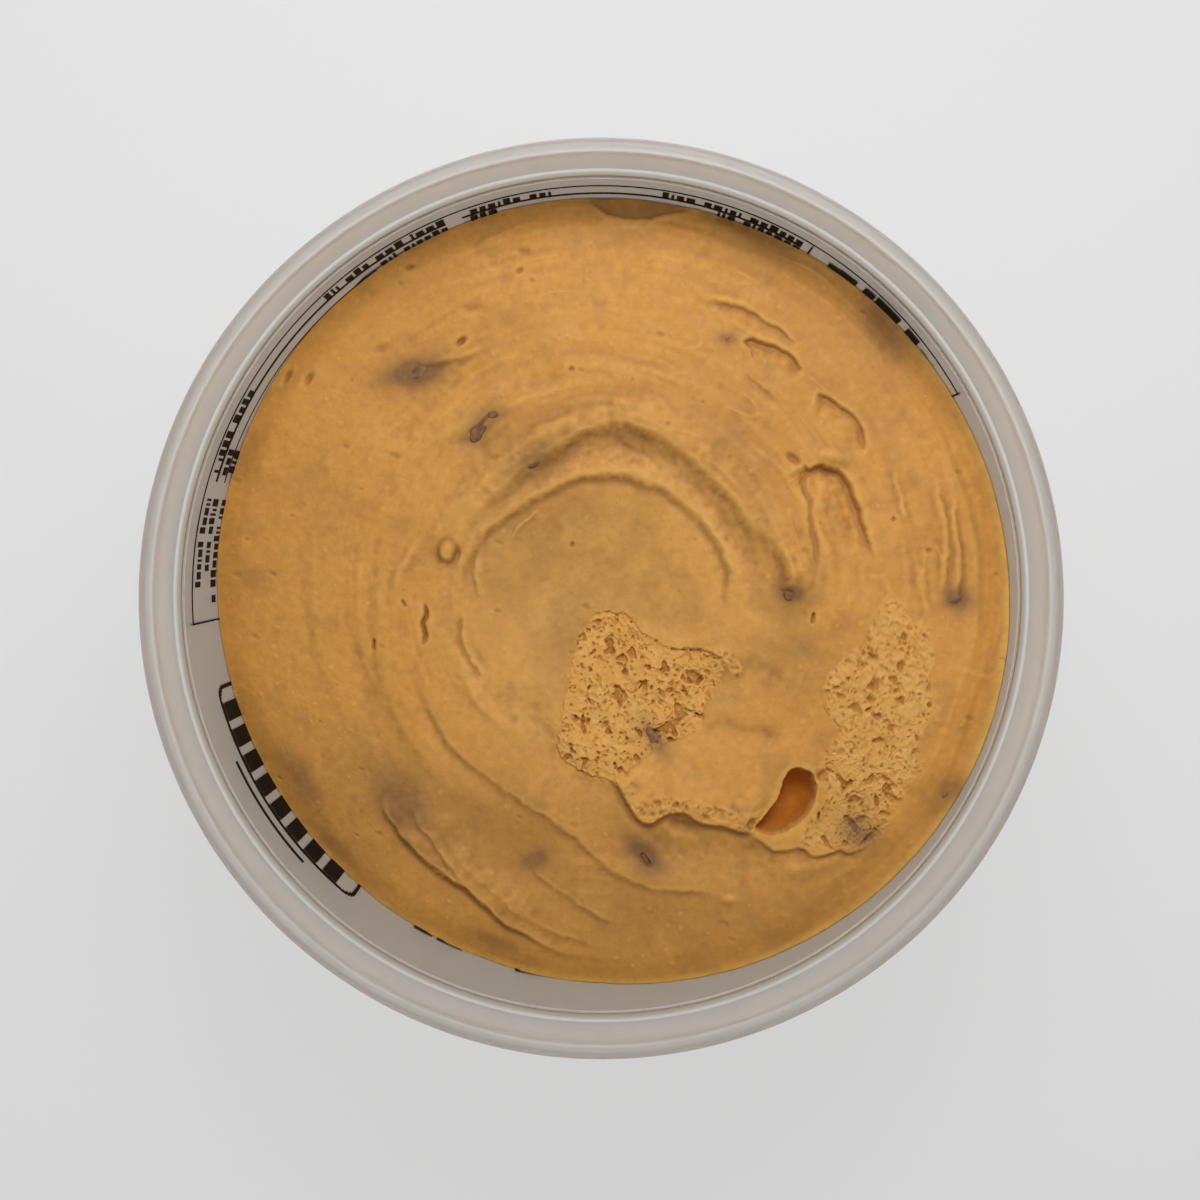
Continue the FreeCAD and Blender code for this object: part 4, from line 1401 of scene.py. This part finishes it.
# %% The floor
FLOOR_HALF = 2.0
FLOOR_NEAR = 0.88
FLOOR_FAR = 0.98
FLOOR_GLOW = 0.6
GLOW_FROM, GLOW_TO = -0.11, 0.11  # metres from the tub's axis, near and far

floor_mesh = bpy.data.meshes.new("floor")
floor_corners = [(x * FLOOR_HALF, y * FLOOR_HALF, 0) for x, y in ((-1, -1), (1, -1), (1, 1), (-1, 1))]
floor_mesh.from_pydata(floor_corners, [], [(0, 1, 2, 3)])
add_object("floor", floor_mesh)

# the floor glows a little for rays that see it: straight on, mirrored or through the plastic
pale, tree, shader = new_finish("pale_floor")
join(tree, shader, {"Base Color": (*paint(222, 222, 223), 1), "Roughness": 0.8})
place = add_node(tree, "TexCoord").outputs["Object"]
depth = add_node(tree, "SeparateXYZ", {"Vector": place}).outputs["Y"]
fall = span(tree, depth, FLOOR_NEAR, FLOOR_FAR, GLOW_FROM, GLOW_TO)
glow = add_node(tree, "Emission", {"Color": fall}).outputs["Emission"]
rays = add_node(tree, "LightPath").outputs
seen = rays["Is Camera Ray"]
for kind in ("Is Glossy Ray", "Is Transmission Ray"):
    seen = add_node(tree, "Math", {0: seen, 1: rays[kind]}, operation="MAXIMUM").outputs["Value"]
part_glow = add_node(tree, "Math", {0: seen, 1: FLOOR_GLOW}, operation="MULTIPLY").outputs["Value"]
blend = add_node(tree, "MixShader", {"Fac": part_glow, 1: shader.outputs["BSDF"], 2: glow})
join(tree, tree.nodes["Material Output"], {"Surface": blend.outputs["Shader"]})
floor_mesh.materials.append(pale)
print("floor %.0f m wide" % (2 * FLOOR_HALF))

# %% Light and camera
LAMP_SIZE = (0.12, 0.08)
LAMP_WATTS = 0.26
LAMP_AT = (0.012, 0.105, 0.24)
LAMP_AIM = (0, 0.0, 0.055)
SKY_STRENGTH = 0.34
LENS, SENSOR = 47.7, 36.0
EYE_ABOVE_RIM = 200.0
EYE_FORWARD = 14.0
EYE_LEAN, EYE_ROLL = -3.74, 0.04

softbox = bpy.data.lights.new("far_softbox", "AREA")
softbox.shape = "RECTANGLE"
softbox.size, softbox.size_y = LAMP_SIZE
softbox.energy = LAMP_WATTS
lamp = add_object("far_softbox", softbox)
lamp.location = LAMP_AT
lamp.rotation_euler = (Vector(LAMP_AIM) - Vector(LAMP_AT)).to_track_quat("-Z", "Y").to_euler()

scene = bpy.context.scene
scene.world = bpy.data.worlds.new("studio")
scene.world.use_nodes = True
sky = scene.world.node_tree
join(sky, sky.nodes["Background"], {"Color": (1, 1, 1, 1), "Strength": SKY_STRENGTH})

camera_data = bpy.data.cameras.new("camera")
camera_data.sensor_width = SENSOR
camera_data.lens = LENS
camera_data.clip_start = 0.01
scene.camera = add_object("camera", camera_data)
scene.camera.location = (0, EYE_FORWARD * MM, (TOP + EYE_ABOVE_RIM) * MM)
scene.camera.rotation_euler = (np.radians(EYE_LEAN), np.radians(EYE_ROLL), 0)
scene.view_settings.view_transform = "Standard"
print("camera %.0f mm above the floor" % (TOP + EYE_ABOVE_RIM))
